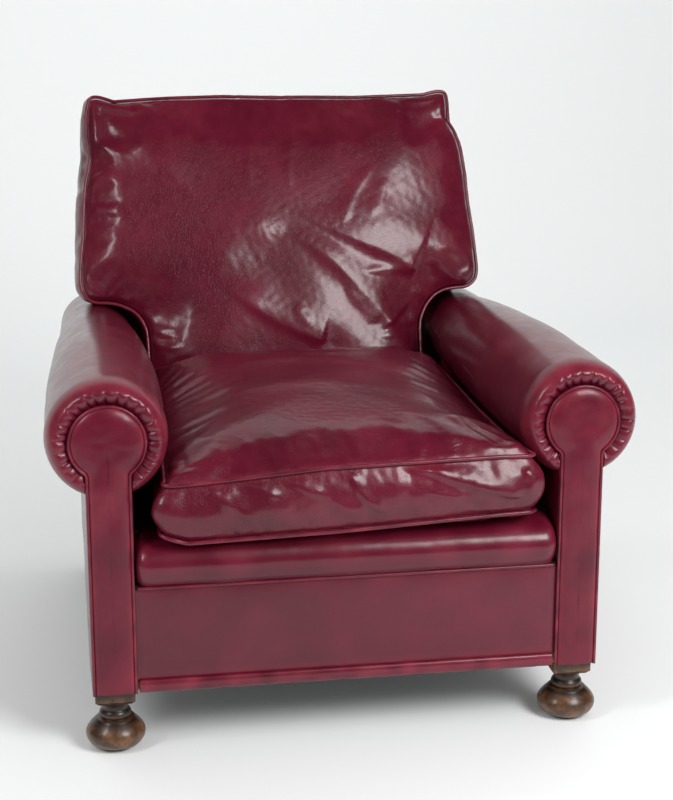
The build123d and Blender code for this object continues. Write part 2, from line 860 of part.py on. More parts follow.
# Arm walls and rolls
for side, sign in sides:
    padding = roll_solid(sign, leather)
    roll_outside = roll_solid(sign, 0)
    with BuildPart() as inside_arm:
        with BuildSketch(Plane.XY.offset(deck_height - tuck_rail_height)):
            with BuildLine():
                wall(
                    piping_radius + soft_gap,
                    stump_back_reach,
                    lambda reach: inner_half(reach) + wall_board,
                    inner_half,
                    sign,
                )
            make_face()
            with BuildLine():
                wall(
                    stump_back_reach,
                    post_front_reach,
                    lambda reach: inner_half(reach) + wall_pad,
                    inner_half,
                    sign,
                )
            make_face()
        extrude(amount=scroll_height - deck_height + tuck_rail_height)
        add(padding, mode=Mode.SUBTRACT)
        add(back_room, mode=Mode.SUBTRACT)
        with BuildSketch(Plane.XZ.offset(-front_y)):
            with Locations((sign * arm_centre, scroll_height)):
                Circle(disc_radius)
        extrude(amount=-roll_front_reach, mode=Mode.SUBTRACT)
    inside_arm.part.label = f"inside_arm_{side}"
    export_step(inside_arm.part, f"parts/{inside_arm.part.label}.step")

    with BuildPart() as outside_arm:
        with BuildSketch(Plane.XY.offset(leg_height)):
            with BuildLine():
                wall(
                    piping_radius + soft_gap,
                    frame_top_reach,
                    outer_half,
                    lambda reach: outer_half(reach) - wall_board,
                    sign,
                )
            make_face()
        extrude(amount=scroll_height - leg_height)
        add(padding, mode=Mode.SUBTRACT)
        add(behind, mode=Mode.SUBTRACT)
        with BuildSketch(Plane.XZ.offset(-front_y)):
            with Locations((sign * arm_centre, scroll_height)):
                Circle(disc_radius)
        extrude(amount=-roll_front_reach, mode=Mode.SUBTRACT)
    outside_arm.part.label = f"outside_arm_{side}"
    export_step(outside_arm.part, f"parts/{outside_arm.part.label}.step")

    with BuildPart() as roll_cover:
        add(roll_outside)
        add(padding, mode=Mode.SUBTRACT)
        with BuildSketch(Plane.XY.offset(leg_height)):
            with BuildLine():
                wall(0, roll_end_reach + cut_over, outer_half, inner_half, sign)
            make_face()
        extrude(amount=scroll_height - leg_height, mode=Mode.SUBTRACT)
        add(back_room, mode=Mode.SUBTRACT)
        add(behind, mode=Mode.SUBTRACT)
    roll_cover.part.label = f"arm_roll_leather_{side}"
    export_step(roll_cover.part, f"parts/{roll_cover.part.label}.step")

    with BuildPart() as roll_stuffing:
        add(padding)
        with BuildSketch(Plane.XZ.offset(-front_y - stump_front_reach)):
            with Locations((sign * arm_centre, scroll_height)):
                Circle(stump_head_radius)
            with Locations((sign * arm_centre, leg_height)):
                Rectangle(stump_width, scroll_height - leg_height, align=(Align.CENTER, Align.MIN))
        extrude(amount=-stump_depth, mode=Mode.SUBTRACT)
        with BuildSketch(Plane.XY.offset(arm_board_height)):
            with BuildLine():
                wall(stump_back_reach, frame_top_reach, arm_board_outer, arm_board_inner, sign)
            make_face()
        extrude(amount=arm_board_thickness, mode=Mode.SUBTRACT)
        with BuildSketch(Plane.XY.offset(leg_height)):
            with BuildLine():
                wall(
                    post_front_reach,
                    frame_top_reach,
                    lambda reach: outer_half(reach) - wall_board,
                    lambda reach: back_rail_half,
                    sign,
                )
            make_face()
        extrude(amount=arm_board_height - leg_height, mode=Mode.SUBTRACT)
        with BuildSketch(Plane.XY.offset(deck_height - tuck_rail_height)):
            with BuildLine():
                wall(
                    stump_back_reach,
                    post_front_reach,
                    lambda reach: inner_half(reach) + wall_pad + tuck_rail_thickness,
                    inner_half,
                    sign,
                )
            make_face()
        extrude(amount=tuck_rail_height, mode=Mode.SUBTRACT)
        add(back_room, mode=Mode.SUBTRACT)
        add(behind, mode=Mode.SUBTRACT)
    roll_stuffing.part.label = f"arm_roll_stuffing_{side}"
    export_step(roll_stuffing.part, f"parts/{roll_stuffing.part.label}.step")

# Pleated leather ring round each scroll, cut away over the arm wall
for side, sign in sides:
    ring_plane = Plane((sign * arm_centre, front_y, scroll_height), (1, 0, 0), (0, 0, 1))
    with BuildPart() as pleats:
        with BuildSketch(ring_plane):
            with BuildLine():
                Polyline(
                    (roll_radius, ring_round),
                    (roll_radius, roll_front_reach),
                    (disc_radius, roll_front_reach),
                    (disc_radius, 0),
                    (roll_radius - ring_round, 0),
                )
                RadiusArc((roll_radius - ring_round, 0), (roll_radius, ring_round), ring_round)
            make_face()
        revolve(axis=Axis((sign * arm_centre, front_y, scroll_height), (0, 1, 0)))
        with Locations(Plane((sign * arm_centre, front_y, scroll_height), (1, 0, 0), (0, -1, 0))):
            with PolarLocations(disc_radius, pleat_count, start_angle=pleat_turn):
                Cylinder(pleat_radius, 2 * pleat_length, rotation=(0, 90, 0), mode=Mode.SUBTRACT)
        with BuildSketch(Plane.XZ.offset(-front_y)):
            with BuildLine() as key_line:
                keyhole_line(sign, facing_width / 2, disc_radius)
                Line(key_line.line @ 1, key_line.line @ 0)
            make_face()
        extrude(amount=-roll_front_reach, mode=Mode.SUBTRACT)
        with BuildSketch(Plane.XY.offset(leg_height)):
            with BuildLine():
                wall(0, roll_front_reach + cut_over, lambda reach: outer_front, inner_half, sign)
            make_face()
        extrude(amount=scroll_height - leg_height, mode=Mode.SUBTRACT)
    pleats.part.label = f"arm_front_pleats_{side}"
    export_step(pleats.part, f"parts/{pleats.part.label}.step")

# Padded keyhole facings and their piping
for side, sign in sides:
    with BuildPart() as facing:
        with BuildSketch(Plane.XZ.offset(-front_y - stump_front_reach)):
            with BuildLine() as facing_line:
                keyhole_line(sign, facing_width / 2 - 2 * piping_radius, disc_radius - 2 * piping_radius)
                Line(facing_line.line @ 1, facing_line.line @ 0)
            make_face()
        extrude(amount=stump_front_reach + facing_crown)
        fillet(facing.faces().sort_by(Axis.Y)[0].edges(), facing_round)
    facing.part.label = f"arm_facing_{side}"
    export_step(facing.part, f"parts/{facing.part.label}.step")

    with BuildPart() as facing_piping:
        with BuildLine(Plane.XZ.offset(-front_y)) as facing_path:
            keyhole_line(sign, facing_width / 2 - piping_radius, disc_radius - piping_radius)
        with BuildSketch(Plane(facing_path.line @ 0, z_dir=facing_path.line % 0)):
            Circle(piping_radius)
        sweep(path=facing_path.line)
    facing_piping.part.label = f"facing_piping_{side}"
    export_step(facing_piping.part, f"parts/{facing_piping.part.label}.step")

# Front of the seat: bottom moulding, padded panel, edge stuffing, lip roll and its piping
lip_half = inner_half(deck_front_reach) - soft_gap
with BuildPart() as moulding:
    with BuildSketch(Plane.YZ):
        with BuildLine():
            nose_reach = stump_front_reach - moulding_height / 2
            Polyline(
                (front_y + nose_reach, leg_height),
                (front_y + stump_front_reach, leg_height),
                (front_y + stump_front_reach, leg_height + moulding_height),
                (front_y + nose_reach, leg_height + moulding_height),
            )
            ThreePointArc(
                (front_y + nose_reach, leg_height + moulding_height),
                (front_y - moulding_nose, leg_height + moulding_height / 2),
                (front_y + nose_reach, leg_height),
            )
        make_face()
    extrude(amount=lip_half, both=True)
moulding.part.label = "front_moulding"
export_step(moulding.part, "parts/front_moulding.step")

panel_bottom = leg_height + moulding_height
panel_layers = (
    ("front_panel", panel_reach, panel_thickness),
    ("front_panel_wadding", panel_reach + panel_thickness, stump_front_reach - panel_reach - panel_thickness),
)
for name, reach, thickness in panel_layers:
    with BuildPart() as panel_layer:
        with Locations((0, front_y + reach, panel_bottom)):
            Box(
                2 * front_rail_half,
                thickness,
                panel_top - panel_bottom,
                align=(Align.CENTER, Align.MIN, Align.MIN),
            )
    panel_layer.part.label = name
    export_step(panel_layer.part, f"parts/{name}.step")

with BuildPart() as edge_stuffing:
    with Locations((0, front_y + stump_front_reach, leg_height + rail_height)):
        Box(
            2 * front_rail_half,
            deck_front_reach - stump_front_reach,
            lip_seam_height - leg_height - rail_height,
            align=(Align.CENTER, Align.MIN, Align.MIN),
        )
edge_stuffing.part.label = "front_edge_stuffing"
export_step(edge_stuffing.part, "parts/front_edge_stuffing.step")

lip_sections = []
for across_share, inset_share in lip_end_shares:
    across = -lip_half + lip_end_round * across_share
    lip_sections.append((across, lip_end_round * inset_share))
lip_sections += [(-across, inset) for across, inset in reversed(lip_sections)]
with BuildPart() as lip:
    for across, inset in lip_sections:
        with BuildSketch(Plane.YZ.offset(across)):
            with BuildLine():
                Polyline(
                    (front_y + lip_shoulder_reach + inset, lip_shoulder_height - inset),
                    (front_y + deck_front_reach, deck_height - inset),
                    (front_y + deck_front_reach, lip_seam_height),
                    (front_y + panel_reach + inset, lip_seam_height),
                )
                ThreePointArc(
                    (front_y + panel_reach + inset, lip_seam_height),
                    (front_y - lip_nose + inset, lip_nose_height),
                    (front_y + lip_shoulder_reach + inset, lip_shoulder_height - inset),
                )
            make_face()
    loft(ruled=True)
lip.part.label = "lip_roll"
export_step(lip.part, "parts/lip_roll.step")

with BuildPart() as lip_piping:
    lip_piping_height = lip_seam_height - piping_radius - soft_gap / 2
    with Locations((0, front_y + lip_piping_reach, lip_piping_height)):
        Cylinder(piping_radius, 2 * lip_half, rotation=(0, 90, 0))
lip_piping.part.label = "lip_piping"
export_step(lip_piping.part, "parts/lip_piping.step")

# Seat cushion: domed floor, boxing that bulges between its pipings, and a crown
seat_floor = deck_height + soft_gap
seat_low_piping = seat_floor + seat_piping_rise
seat_high_piping = seat_low_piping + seat_boxing
groove = cushion_piping + soft_gap / 2
tube_room = cushion_piping + groove + soft_gap


def seat_line(top_share, inset):
    """Plan outline of the seat cushion, drawn in along its sides and bowed at its front."""
    front_half = seat_front_half + (seat_top_half - seat_front_half) * top_share - inset
    rear_half = seat_rear_half + (seat_rear_top_half - seat_rear_half) * top_share - inset
    front = front_y - seat_overhang + inset
    rear = front_y + seat_rear_reach - inset
    size_share = rear_half / seat_rear_half
    draw = seat_draw * size_share
    waist = (front_half + rear_half) / 2 - draw
    middle = (front + rear) / 2
    return FilletPolyline(
        (-front_half, front),
        (0, front - draw),
        (front_half, front),
        (waist, middle),
        (rear_half, rear),
        (0, rear - draw),
        (-rear_half, rear),
        (-waist, middle),
        radius=[seat_corner * size_share, seat_draw_round * size_share] * 4,
        close=True,
    )


def seat_section(height, top_share, inset):
    """One level of the seat cushion."""
    with BuildSketch(Plane.XY.offset(height), mode=Mode.PRIVATE) as section:
        with BuildLine():
            seat_line(top_share, inset)
        make_face()
    return section.sketch


seat_crown_inset = seat_rear_top_half
with BuildPart() as seat_cushion:
    loft(
        [
            seat_section(seat_floor, 0, seat_floor_inset),
            seat_section(seat_low_piping - groove, 0, tube_room),
            seat_section(seat_low_piping + groove, 0, tube_room),
        ],
        ruled=True,
    )
    loft(
        [
            seat_section(seat_low_piping + groove, 0, tube_room),
            seat_section((seat_low_piping + seat_high_piping) / 2, 0.5, -seat_bulge),
            seat_section(seat_high_piping - groove, 1, tube_room),
        ]
    )
    loft(
        [
            seat_section(seat_high_piping - groove, 1, tube_room),
            seat_section(seat_high_piping + groove, 1, tube_room),
        ],
        ruled=True,
    )
    crown_sections = [seat_section(seat_high_piping + groove, 1, tube_room)]
    for inset_share, rise_share in seat_crown_shares:
        crown_sections.append(
            seat_section(
                seat_high_piping + groove + seat_crown * rise_share,
                1,
                tube_room + seat_crown_inset * inset_share,
            )
        )
    loft(crown_sections)
seat_cushion.part.label = "seat_cushion"
export_step(seat_cushion.part, "parts/seat_cushion.step")

with BuildPart() as seat_piping:
    for height, top_share in ((seat_low_piping, 0), (seat_high_piping, 1)):
        with BuildLine(Plane.XY.offset(height)) as seat_path:
            seat_line(top_share, cushion_piping)
        with BuildSketch(Plane(seat_path.line @ 0, z_dir=seat_path.line % 0)):
            Circle(cushion_piping)
        sweep(path=seat_path.line)
seat_piping.part.label = "seat_cushion_piping"
export_step(seat_piping.part, "parts/seat_cushion_piping.step")

# Back cushion: T shape, its ears over the arm rolls, with bulging boxing and a crowned face
back_origin = (0, front_y + back_reach, deck_height)
back_plane = Plane(back_origin, (1, 0, 0), (0, -math.cos(lean), math.sin(lean)))
roll_back_top = scroll_height - roll_back_drop + roll_radius - roll_back_taper
ear_rise = (roll_back_top - deck_height) / math.cos(lean) + back_ear_gap


def back_line(grow, lift, scale):
    """Outline of the back cushion: grown, with its lower edges lifted, and scaled about its middle."""
    low = back_rise + lift - grow
    ear = ear_rise + lift - grow
    corners = (
        (back_low_half + grow, low, back_low_round),
        (back_low_half + back_notch_lean + grow, ear, back_notch_round),
        (back_ear_half + grow, ear, back_ear_round),
        (back_mid_half + grow, back_mid_rise, back_side_round),
        (back_tip_half + grow, back_tip_rise + grow, back_tip_round),
    )
    crown_point = [(0, back_tip_rise - back_top_sag + grow, back_top_round)]
    mirrored = [(-across, rise, turn) for across, rise, turn in reversed(corners)]
    places = list(corners) + crown_point + mirrored
    points = [
        (across * scale, back_centre_rise + (rise - back_centre_rise) * scale)
        for across, rise, turn in places
    ]
    return FilletPolyline(*points, radius=[turn * scale for across, rise, turn in places], close=True)


def back_section(forward, grow, lift, scale=1):
    """One slice of the back cushion, parallel to its leaning face."""
    with BuildSketch(back_plane.offset(forward), mode=Mode.PRIVATE) as section:
        with BuildLine():
            back_line(grow, lift, scale)
        make_face()
    return section.sketch


rear_piping_depth = back_thickness - cushion_piping
with BuildPart() as back_cushion:
    front_low_section = back_section(-groove, -tube_room, 0)
    front_high_section = back_section(groove, -tube_room, 0)
    rear_high_section = back_section(groove - rear_piping_depth, -tube_room, back_rear_lift)
    back_crown_sections = [front_high_section]
    for scale, forward_share in back_crown_shares:
        forward = groove + back_crown * forward_share
        back_crown_sections.append(back_section(forward, -tube_room, 0, scale))
    loft(back_crown_sections)
    loft([front_high_section, front_low_section], ruled=True)
    boxing_section = back_section(-rear_piping_depth / 2, back_bulge, back_rear_lift / 2)
    loft([front_low_section, boxing_section, rear_high_section])
    loft([rear_high_section, back_section(-back_thickness, -tube_room, back_rear_lift)], ruled=True)
back_cushion.part.label = "back_cushion"
export_step(back_cushion.part, "parts/back_cushion.step")

with BuildPart() as back_piping:
    for forward, lift in ((0, 0), (-rear_piping_depth, back_rear_lift)):
        with BuildLine(back_plane.offset(forward)) as back_path:
            back_line(-cushion_piping, lift, 1)
        with BuildSketch(Plane(back_path.line @ 0, z_dir=back_path.line % 0)):
            Circle(cushion_piping)
        sweep(path=back_path.line)
back_piping.part.label = "back_cushion_piping"
export_step(back_piping.part, "parts/back_cushion_piping.step")
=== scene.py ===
import bmesh
import bpy
import json
import math
import numpy as np
from functools import partial
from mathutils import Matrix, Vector, kdtree


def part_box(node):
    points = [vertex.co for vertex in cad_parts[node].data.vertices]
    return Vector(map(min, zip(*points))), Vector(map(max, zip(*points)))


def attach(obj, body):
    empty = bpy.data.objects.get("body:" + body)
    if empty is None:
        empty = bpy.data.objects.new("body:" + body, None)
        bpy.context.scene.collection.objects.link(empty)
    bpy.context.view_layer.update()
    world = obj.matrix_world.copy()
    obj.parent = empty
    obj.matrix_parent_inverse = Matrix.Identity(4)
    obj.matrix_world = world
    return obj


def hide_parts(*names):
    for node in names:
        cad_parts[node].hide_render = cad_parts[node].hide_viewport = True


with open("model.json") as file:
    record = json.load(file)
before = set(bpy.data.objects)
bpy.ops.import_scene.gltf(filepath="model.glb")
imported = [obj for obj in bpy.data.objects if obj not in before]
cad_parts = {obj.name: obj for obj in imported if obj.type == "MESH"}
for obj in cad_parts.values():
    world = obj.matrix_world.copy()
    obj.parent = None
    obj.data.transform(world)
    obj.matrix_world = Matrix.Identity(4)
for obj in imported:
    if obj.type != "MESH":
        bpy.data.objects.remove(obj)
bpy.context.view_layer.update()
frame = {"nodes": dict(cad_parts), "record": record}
nodes = frame["nodes"]
mm = 0.001
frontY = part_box("arm_stump_left")[0][1] - 12 * mm  # plane of the arm fronts
lean = math.radians(21.5)
sides = (("left", -1), ("right", 1))

# Main sizes in millimetres, as the solids have them. A reach is a distance behind the arm fronts
chair = {
    "armCentre": 353.5, "lipHalf": 317.4, "legHeight": 99.0, "deckHeight": 337.7, "scrollHeight": 488.5,
    "rearReach": 845.0, "rearTopReach": 976.0, "rearTopHeight": 797.0,
}


def place(across, reach, height):  # millimetres to a point of the frame
    return (across * mm, frontY + reach * mm, height * mm)


def chairSpace(spots):  # points of the frame to millimetres across, behind the arm fronts and up
    return (spots - (0, frontY, 0)) / mm


def rearAt(height):
    slope = (chair["rearTopReach"] - chair["rearReach"]) / (chair["rearTopHeight"] - chair["legHeight"])
    return chair["rearReach"] + (height - chair["legHeight"]) * slope


def smoothStep(low, high, value):
    share = np.clip((np.asarray(value, float) - low) / (high - low), 0, 1)
    return share * share * (3 - 2 * share)


def band(low, full, fade, high, value):  # rises to 1 between low and full, falls to 0 between fade and high
    return smoothStep(low, full, value) * (1 - smoothStep(fade, high, value))


def softWaves(points, size, seed, count=24):  # smooth random field of sine waves, about -1 to 1
    rng = np.random.default_rng(seed)
    total = np.zeros(len(points))
    for _ in range(count):
        way = rng.normal(size=points.shape[1])
        way *= rng.uniform(0.6, 1.6) / np.linalg.norm(way)
        total += np.sin(points @ way * (2 * math.pi / size) + rng.uniform(0, 2 * math.pi))
    return total / math.sqrt(count)


def bell(value, width):  # 1 at zero, falling off over the width
    return np.exp(-(value / width) ** 2)


def unit(rows):
    return rows / np.linalg.norm(rows, axis=1)[:, None]


def addObject(name, data):
    item = bpy.data.objects.new(name, data)
    bpy.context.scene.collection.objects.link(item)
    return item


def shadeSmooth(piece):
    mesh = piece.data
    mesh.polygons.foreach_set("use_smooth", [True] * len(mesh.polygons))
    mesh.update()


def welded(mesh):  # the mesh opened for edits, with its doubled corners merged
    bm = bmesh.new()
    bm.from_mesh(mesh)
    bmesh.ops.remove_doubles(bm, verts=bm.verts, dist=0.02 * mm)
    return bm


def makePiece(name, points, faces):  # a smooth piece, every face turned outwards
    mesh = bpy.data.meshes.new(name)
    mesh.from_pydata([tuple(p) for p in points], [], faces)
    bm = welded(mesh)
    bmesh.ops.recalc_face_normals(bm, faces=bm.faces)
    bm.to_mesh(mesh)
    bm.free()
    piece = addObject(name, mesh)
    shadeSmooth(piece)
    return piece


def applyModifiers(piece):
    graph = bpy.context.evaluated_depsgraph_get()
    mesh = bpy.data.meshes.new_from_object(piece.evaluated_get(graph))
    piece.modifiers.clear()
    piece.data = mesh


def readVectors(mesh, key):
    flat = np.empty(len(mesh.vertices) * 3)
    mesh.vertices.foreach_get(key, flat)
    return flat.reshape(-1, 3)


def getPoints(piece):
    return readVectors(piece.data, "co")


def getNormals(piece):
    return readVectors(piece.data, "normal")


def setPoints(piece, points):
    piece.data.vertices.foreach_set("co", np.asarray(points).ravel())
    piece.data.update()


def pushOut(piece, spots, normals, amount):  # moves every point along its normal by an amount in mm
    setPoints(piece, spots + normals * (amount * mm)[:, None])


def setWearAndPaintedShade(piece, values):  # how rubbed the surface is at each point, 0 to 1; on the turned feet it holds painted shade instead, low where they are painted dark
    layer = piece.data.attributes.new("wear", "FLOAT", "POINT")
    layer.data.foreach_set("value", np.clip(values, 0, 1).astype(np.float32))


def treeOf(spots):
    tree = kdtree.KDTree(len(spots))
    for index, spot in enumerate(spots):
        tree.insert(spot, index)
    tree.balance()
    return tree


def distanceTo(points, path):  # each point's distance to a list of places
    tree = treeOf(path)
    return np.array([tree.find(p)[2] for p in points])


def hugged(path, piece, slack):  # a piping line drawn back to the leather where it stands off
    tree = treeOf(getPoints(piece))
    drawn = []
    for point in path:
        nearest, _, gap = tree.find(point)
        nearest = np.array(nearest)
        drawn.append(nearest + (np.array(point) - nearest) * min(1.0, slack / max(gap, 0.01 * mm)))
    return np.array(drawn)


def dress(thing, finish):
    thing.data.materials.clear()
    thing.data.materials.append(finishes[finish])


def finishPiece(piece, body, slot, *replaced, look=None):
    dress(piece, look or slot)
    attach(piece, body)
    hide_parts(*replaced)


def loopFaces(rings, count, closed=False):  # quads between rings of equal length, their ends joined or capped
    faces = []
    for ring in range(rings if closed else rings - 1):
        low, high = ring * count, (ring + 1) % rings * count
        for spot in range(count):
            after = (spot + 1) % count
            faces.append((low + spot, low + after, high + after, high + spot))
    if not closed:
        faces += [tuple(range(count)), tuple(range((rings - 1) * count, rings * count))]
    return faces


def evenPath(path, spacing, closed):  # the same path with even steps
    points = [np.asarray(p, float) for p in path]
    if closed:
        points.append(points[0])
    points = np.array(points)
    steps = np.linalg.norm(np.diff(points, axis=0), axis=1)
    along = np.concatenate([[0], np.cumsum(steps)])
    count = max(4, int(round(along[-1] / spacing)))
    marks = np.linspace(0, along[-1], count + (0 if closed else 1), endpoint=not closed)
    return np.stack([np.interp(marks, along, points[:, axis]) for axis in range(points.shape[1])], 1)


def tube(name, path, flat, radius, closed=False, wobble=0.02, seed=0):
    # a cord along a path in metres that lies near a plane with normal flat
    spots = 10
    path = np.asarray(path, float)
    ahead = unit(np.roll(path, -1, 0) - np.roll(path, 1, 0) if closed else np.gradient(path, axis=0))
    aside = unit(np.cross(ahead, np.asarray(flat, float)))
    above = np.cross(aside, ahead)
    swell = 1 + wobble * softWaves(path, 14 * mm, seed)
    points = []
    for centre, side3, up3, size in zip(path, aside, above, swell):
        for turn in np.linspace(0, 2 * math.pi, spots, endpoint=False):
            points.append(centre + radius * size * (math.cos(turn) * side3 + math.sin(turn) * up3))
    return makePiece(name, points, loopFaces(len(path), spots, closed))


def roundedOutline(corners, spacing):
    # closed outline through filleted corners, each (x, y, radius), in even steps
    count = len(corners)
    path = []
    for index in range(count):
        before, here, after = (np.array(corners[(index + k) % count][:2], float) for k in (-1, 0, 1))
        radius = corners[index][2]
        toBefore = (before - here) / np.linalg.norm(before - here)
        toAfter = (after - here) / np.linalg.norm(after - here)
        half = math.acos(max(-1, min(1, float(toBefore @ toAfter)))) / 2
        if radius <= 0 or half > math.pi / 2 - 1e-4:
            path.append(here)
            continue
        middle = (toBefore + toAfter) / np.linalg.norm(toBefore + toAfter)
        centre = here + middle * radius / math.sin(half)
        start = here + toBefore * radius / math.tan(half) - centre
        end = here + toAfter * radius / math.tan(half) - centre
        sweep = math.atan2(start[0] * end[1] - start[1] * end[0], float(start @ end))
        first = math.atan2(start[1], start[0])
        for step in np.linspace(0, 1, max(3, int(abs(sweep) * radius / spacing) + 2)):
            turn = first + sweep * step
            path.append(centre + radius * np.array([math.cos(turn), math.sin(turn)]))
    return evenPath(path, spacing, True)


def hexColour(code):  # sRGB hex to the linear colour that a shader wants
    parts = [int(code[i:i + 2], 16) / 255 for i in (1, 3, 5)]
    return tuple(p / 12.92 if p <= 0.04045 else ((p + 0.055) / 1.055) ** 2.4 for p in parts) + (1.0,)


def setStops(bar, stops):
    while len(bar.elements) < len(stops):
        bar.elements.new(0.5)
    for element, (spot, colour) in zip(bar.elements, stops):
        element.position = spot
        element.color = hexColour(colour)


def addNode(tree, kind, settings=None, links=None):
    # one node with its settings and links. A link comes from a socket, or from a node's first output
    item = tree.nodes.new("ShaderNode" + kind)
    for key, value in (settings or {}).items():
        if key == "stops":
            setStops(item.color_ramp, value)
        elif isinstance(key, int) or key in item.inputs:
            item.inputs[key].default_value = value
        else:
            setattr(item, key, value)
    for key, source in (links or {}).items():
        tree.links.new(source.outputs[0] if isinstance(source, bpy.types.Node) else source, item.inputs[key])
    return item


def newMaterial(name):  # an empty material, and what adds nodes to it
    material = bpy.data.materials.new(name)
    material.use_nodes = True
    material.node_tree.nodes.clear()
    return material, partial(addNode, material.node_tree)


def closeMaterial(add, settings, links):
    skin = add("BsdfPrincipled", settings, links)
    add("OutputMaterial", {}, {"Surface": skin})


perMetre = 1000.0  # a pattern's scale is this over its size in millimetres
perPeriod = 314.0  # the same for the period of a pattern in bands

# Bovine hide, pigment dyed and glazed with a clear finish: deep wine red, soft broad shine, fine grain
hide = {
    "deep": "#4B071B", "base": "#560920", "light": "#610C27", "rubbed": "#8E2A3C",
    "roughness": 0.34, "coat": 0.6, "coatRoughness": 0.23, "ior": 1.3, "grainDepth": 0.16, "creaseDepth": 0.1,
    "grainSize": 1.4, "creaseSize": 7.0, "bendSize": 14.0, "cloudSize": 160.0, "mottleSize": 26.0,
}


def glazedHide(name, **changes):
    look = dict(hide, **changes)
    material, add = newMaterial(name)
    spot = add("TexCoord").outputs["Object"]
    wear = add("Attribute", {"attribute_name": "wear"}).outputs["Fac"]
    scale = {key: perMetre / look[key + "Size"] for key in ("grain", "crease", "bend", "cloud", "mottle")}
    cloud = add("TexNoise", {"Scale": scale["cloud"], "Detail": 4.0}, {"Vector": spot})
    mottle = add("TexNoise", {"Scale": scale["mottle"], "Detail": 5.0}, {"Vector": spot})
    mixed = add("Math", {"operation": "MULTIPLY_ADD", 1: 0.45}, {0: mottle, 2: cloud})
    shade = add("MapRange", {"From Min": 0.45, "From Max": 1.0}, {"Value": mixed})
    stops = [(0.0, look["deep"]), (0.5, look["base"]), (1.0, look["light"])]
    dyed = add("ValToRGB", {"stops": stops}, {"Fac": shade})
    rubMask = add("Math", {"operation": "MULTIPLY"}, {0: wear, 1: mottle})
    rubbed = add("Mix", {"data_type": "RGBA", "B": hexColour(look["rubbed"])}, {"Factor": rubMask, "A": dyed})
    bend = add("TexNoise", {"Scale": scale["bend"], "Detail": 2.0}, {"Vector": spot})
    bent = add("Mix", {"data_type": "RGBA", "Factor": 0.012}, {"A": spot, "B": bend.outputs["Color"]})
    crease = add("TexVoronoi", {"feature": "DISTANCE_TO_EDGE", "Scale": scale["crease"]},
                 {"Vector": bent.outputs["Result"]})
    furrow = add("MapRange", {"From Min": 0.0, "From Max": 0.12}, {"Value": crease})
    grain = add("TexVoronoi", {"Scale": scale["grain"]}, {"Vector": spot})
    furrowBump = add("Bump", {"Strength": look["creaseDepth"], "Distance": 0.6 * mm}, {"Height": furrow})
    grainBump = add("Bump", {"Strength": look["grainDepth"], "Distance": 0.3 * mm},
                    {"Height": grain, "Normal": furrowBump})
    smooth, rough = look["roughness"] - 0.05, look["roughness"] + 0.08
    gloss = add("MapRange", {"From Min": 0.3, "From Max": 0.7, "To Min": smooth, "To Max": rough}, {"Value": mottle})
    dull = add("Math", {"operation": "MULTIPLY_ADD", 1: 0.10}, {0: wear, 2: gloss})
    closeMaterial(add, {"IOR": look["ior"], "Coat Weight": look["coat"], "Coat Roughness": look["coatRoughness"]},
                  {"Base Color": rubbed.outputs["Result"], "Roughness": dull, "Normal": grainBump})
    return material


# Turned walnut, stained and French polished, close grain along the height; painted shade makes it dark in the grooves,
# the neck and at the bun's top and base, and the brown stain is left as painted light on the bun's belly and the block
def polishedWalnut(name):
    material, add = newMaterial(name)
    spot = add("TexCoord").outputs["Object"]
    stretched = add("Mapping", {"Scale": (1.0, 1.0, 0.12)}, {"Vector": spot})
    figure = add("TexNoise", {"Scale": 48.0, "Detail": 5.0, "Distortion": 0.6}, {"Vector": spot})
    fibre = add("TexNoise", {"Scale": 700.0, "Detail": 3.0}, {"Vector": stretched})
    mixed = add("Math", {"operation": "MULTIPLY_ADD", 1: 0.35}, {0: fibre, 2: figure})
    stops = [(0.4, "#25150B"), (0.62, "#462B18"), (0.8, "#6B4627"), (1.0, "#8A6339")]
    stain = add("ValToRGB", {"stops": stops}, {"Fac": mixed})
    wear = add("Attribute", {"attribute_name": "wear"}).outputs["Fac"]
    # painted shade: near-black mixed over the stain wherever the foot's painted light mask is low
    paintedShade = add("Mix", {"data_type": "RGBA", "A": hexColour("#140A08")}, {"Factor": wear, "B": stain})
    bump = add("Bump", {"Strength": 0.12, "Distance": 0.4 * mm}, {"Height": fibre})
    closeMaterial(add, {"IOR": 1.5, "Roughness": 0.42, "Coat Weight": 0.35, "Coat Roughness": 0.2},
                  {"Base Color": paintedShade.outputs["Result"], "Normal": bump})
    return material


def mattSurface(add, pattern, stops, bump, roughness):  # one pattern gives both the colour and the relief
    colour = add("ValToRGB", {"stops": stops}, {"Fac": pattern})
    relief = add("Bump", {"Strength": bump[0], "Distance": bump[1] * mm}, {"Height": pattern})
    closeMaterial(add, {"Roughness": roughness}, {"Base Color": colour, "Normal": relief})


# Plain beech, planed and left bare: pale, matt, straight grain
def bareBeech(name):
    material, add = newMaterial(name)
    spot = add("TexCoord").outputs["Object"]
    stretched = add("Mapping", {"Scale": (1.0, 0.15, 0.6)}, {"Vector": spot})
    grain = add("TexNoise", {"Scale": 160.0, "Detail": 4.0}, {"Vector": stretched})
    mattSurface(add, grain, [(0.3, "#8C6A45"), (0.7, "#B89468")], (0.15, 0.4), 0.65)
    return material


# Woven cloths: two sets of threads at the real pitch, matt
def wovenCloth(name, dark, light, pitch):
    material, add = newMaterial(name)
    spot = add("TexCoord").outputs["Object"]
    threads = {"Scale": perPeriod / pitch / 2, "Distortion": 0.4, "Detail": 1.0}  # two threads to a period
    warp, weft = (add("TexWave", dict(threads, bands_direction=way), {"Vector": spot}).outputs["Fac"] for way in "XY")
    weave = add("Math", {"operation": "MULTIPLY"}, {0: warp, 1: weft})
    mattSurface(add, weave, [(0.0, dark), (1.0, light)], (0.4, 0.6), 0.9)
    return material


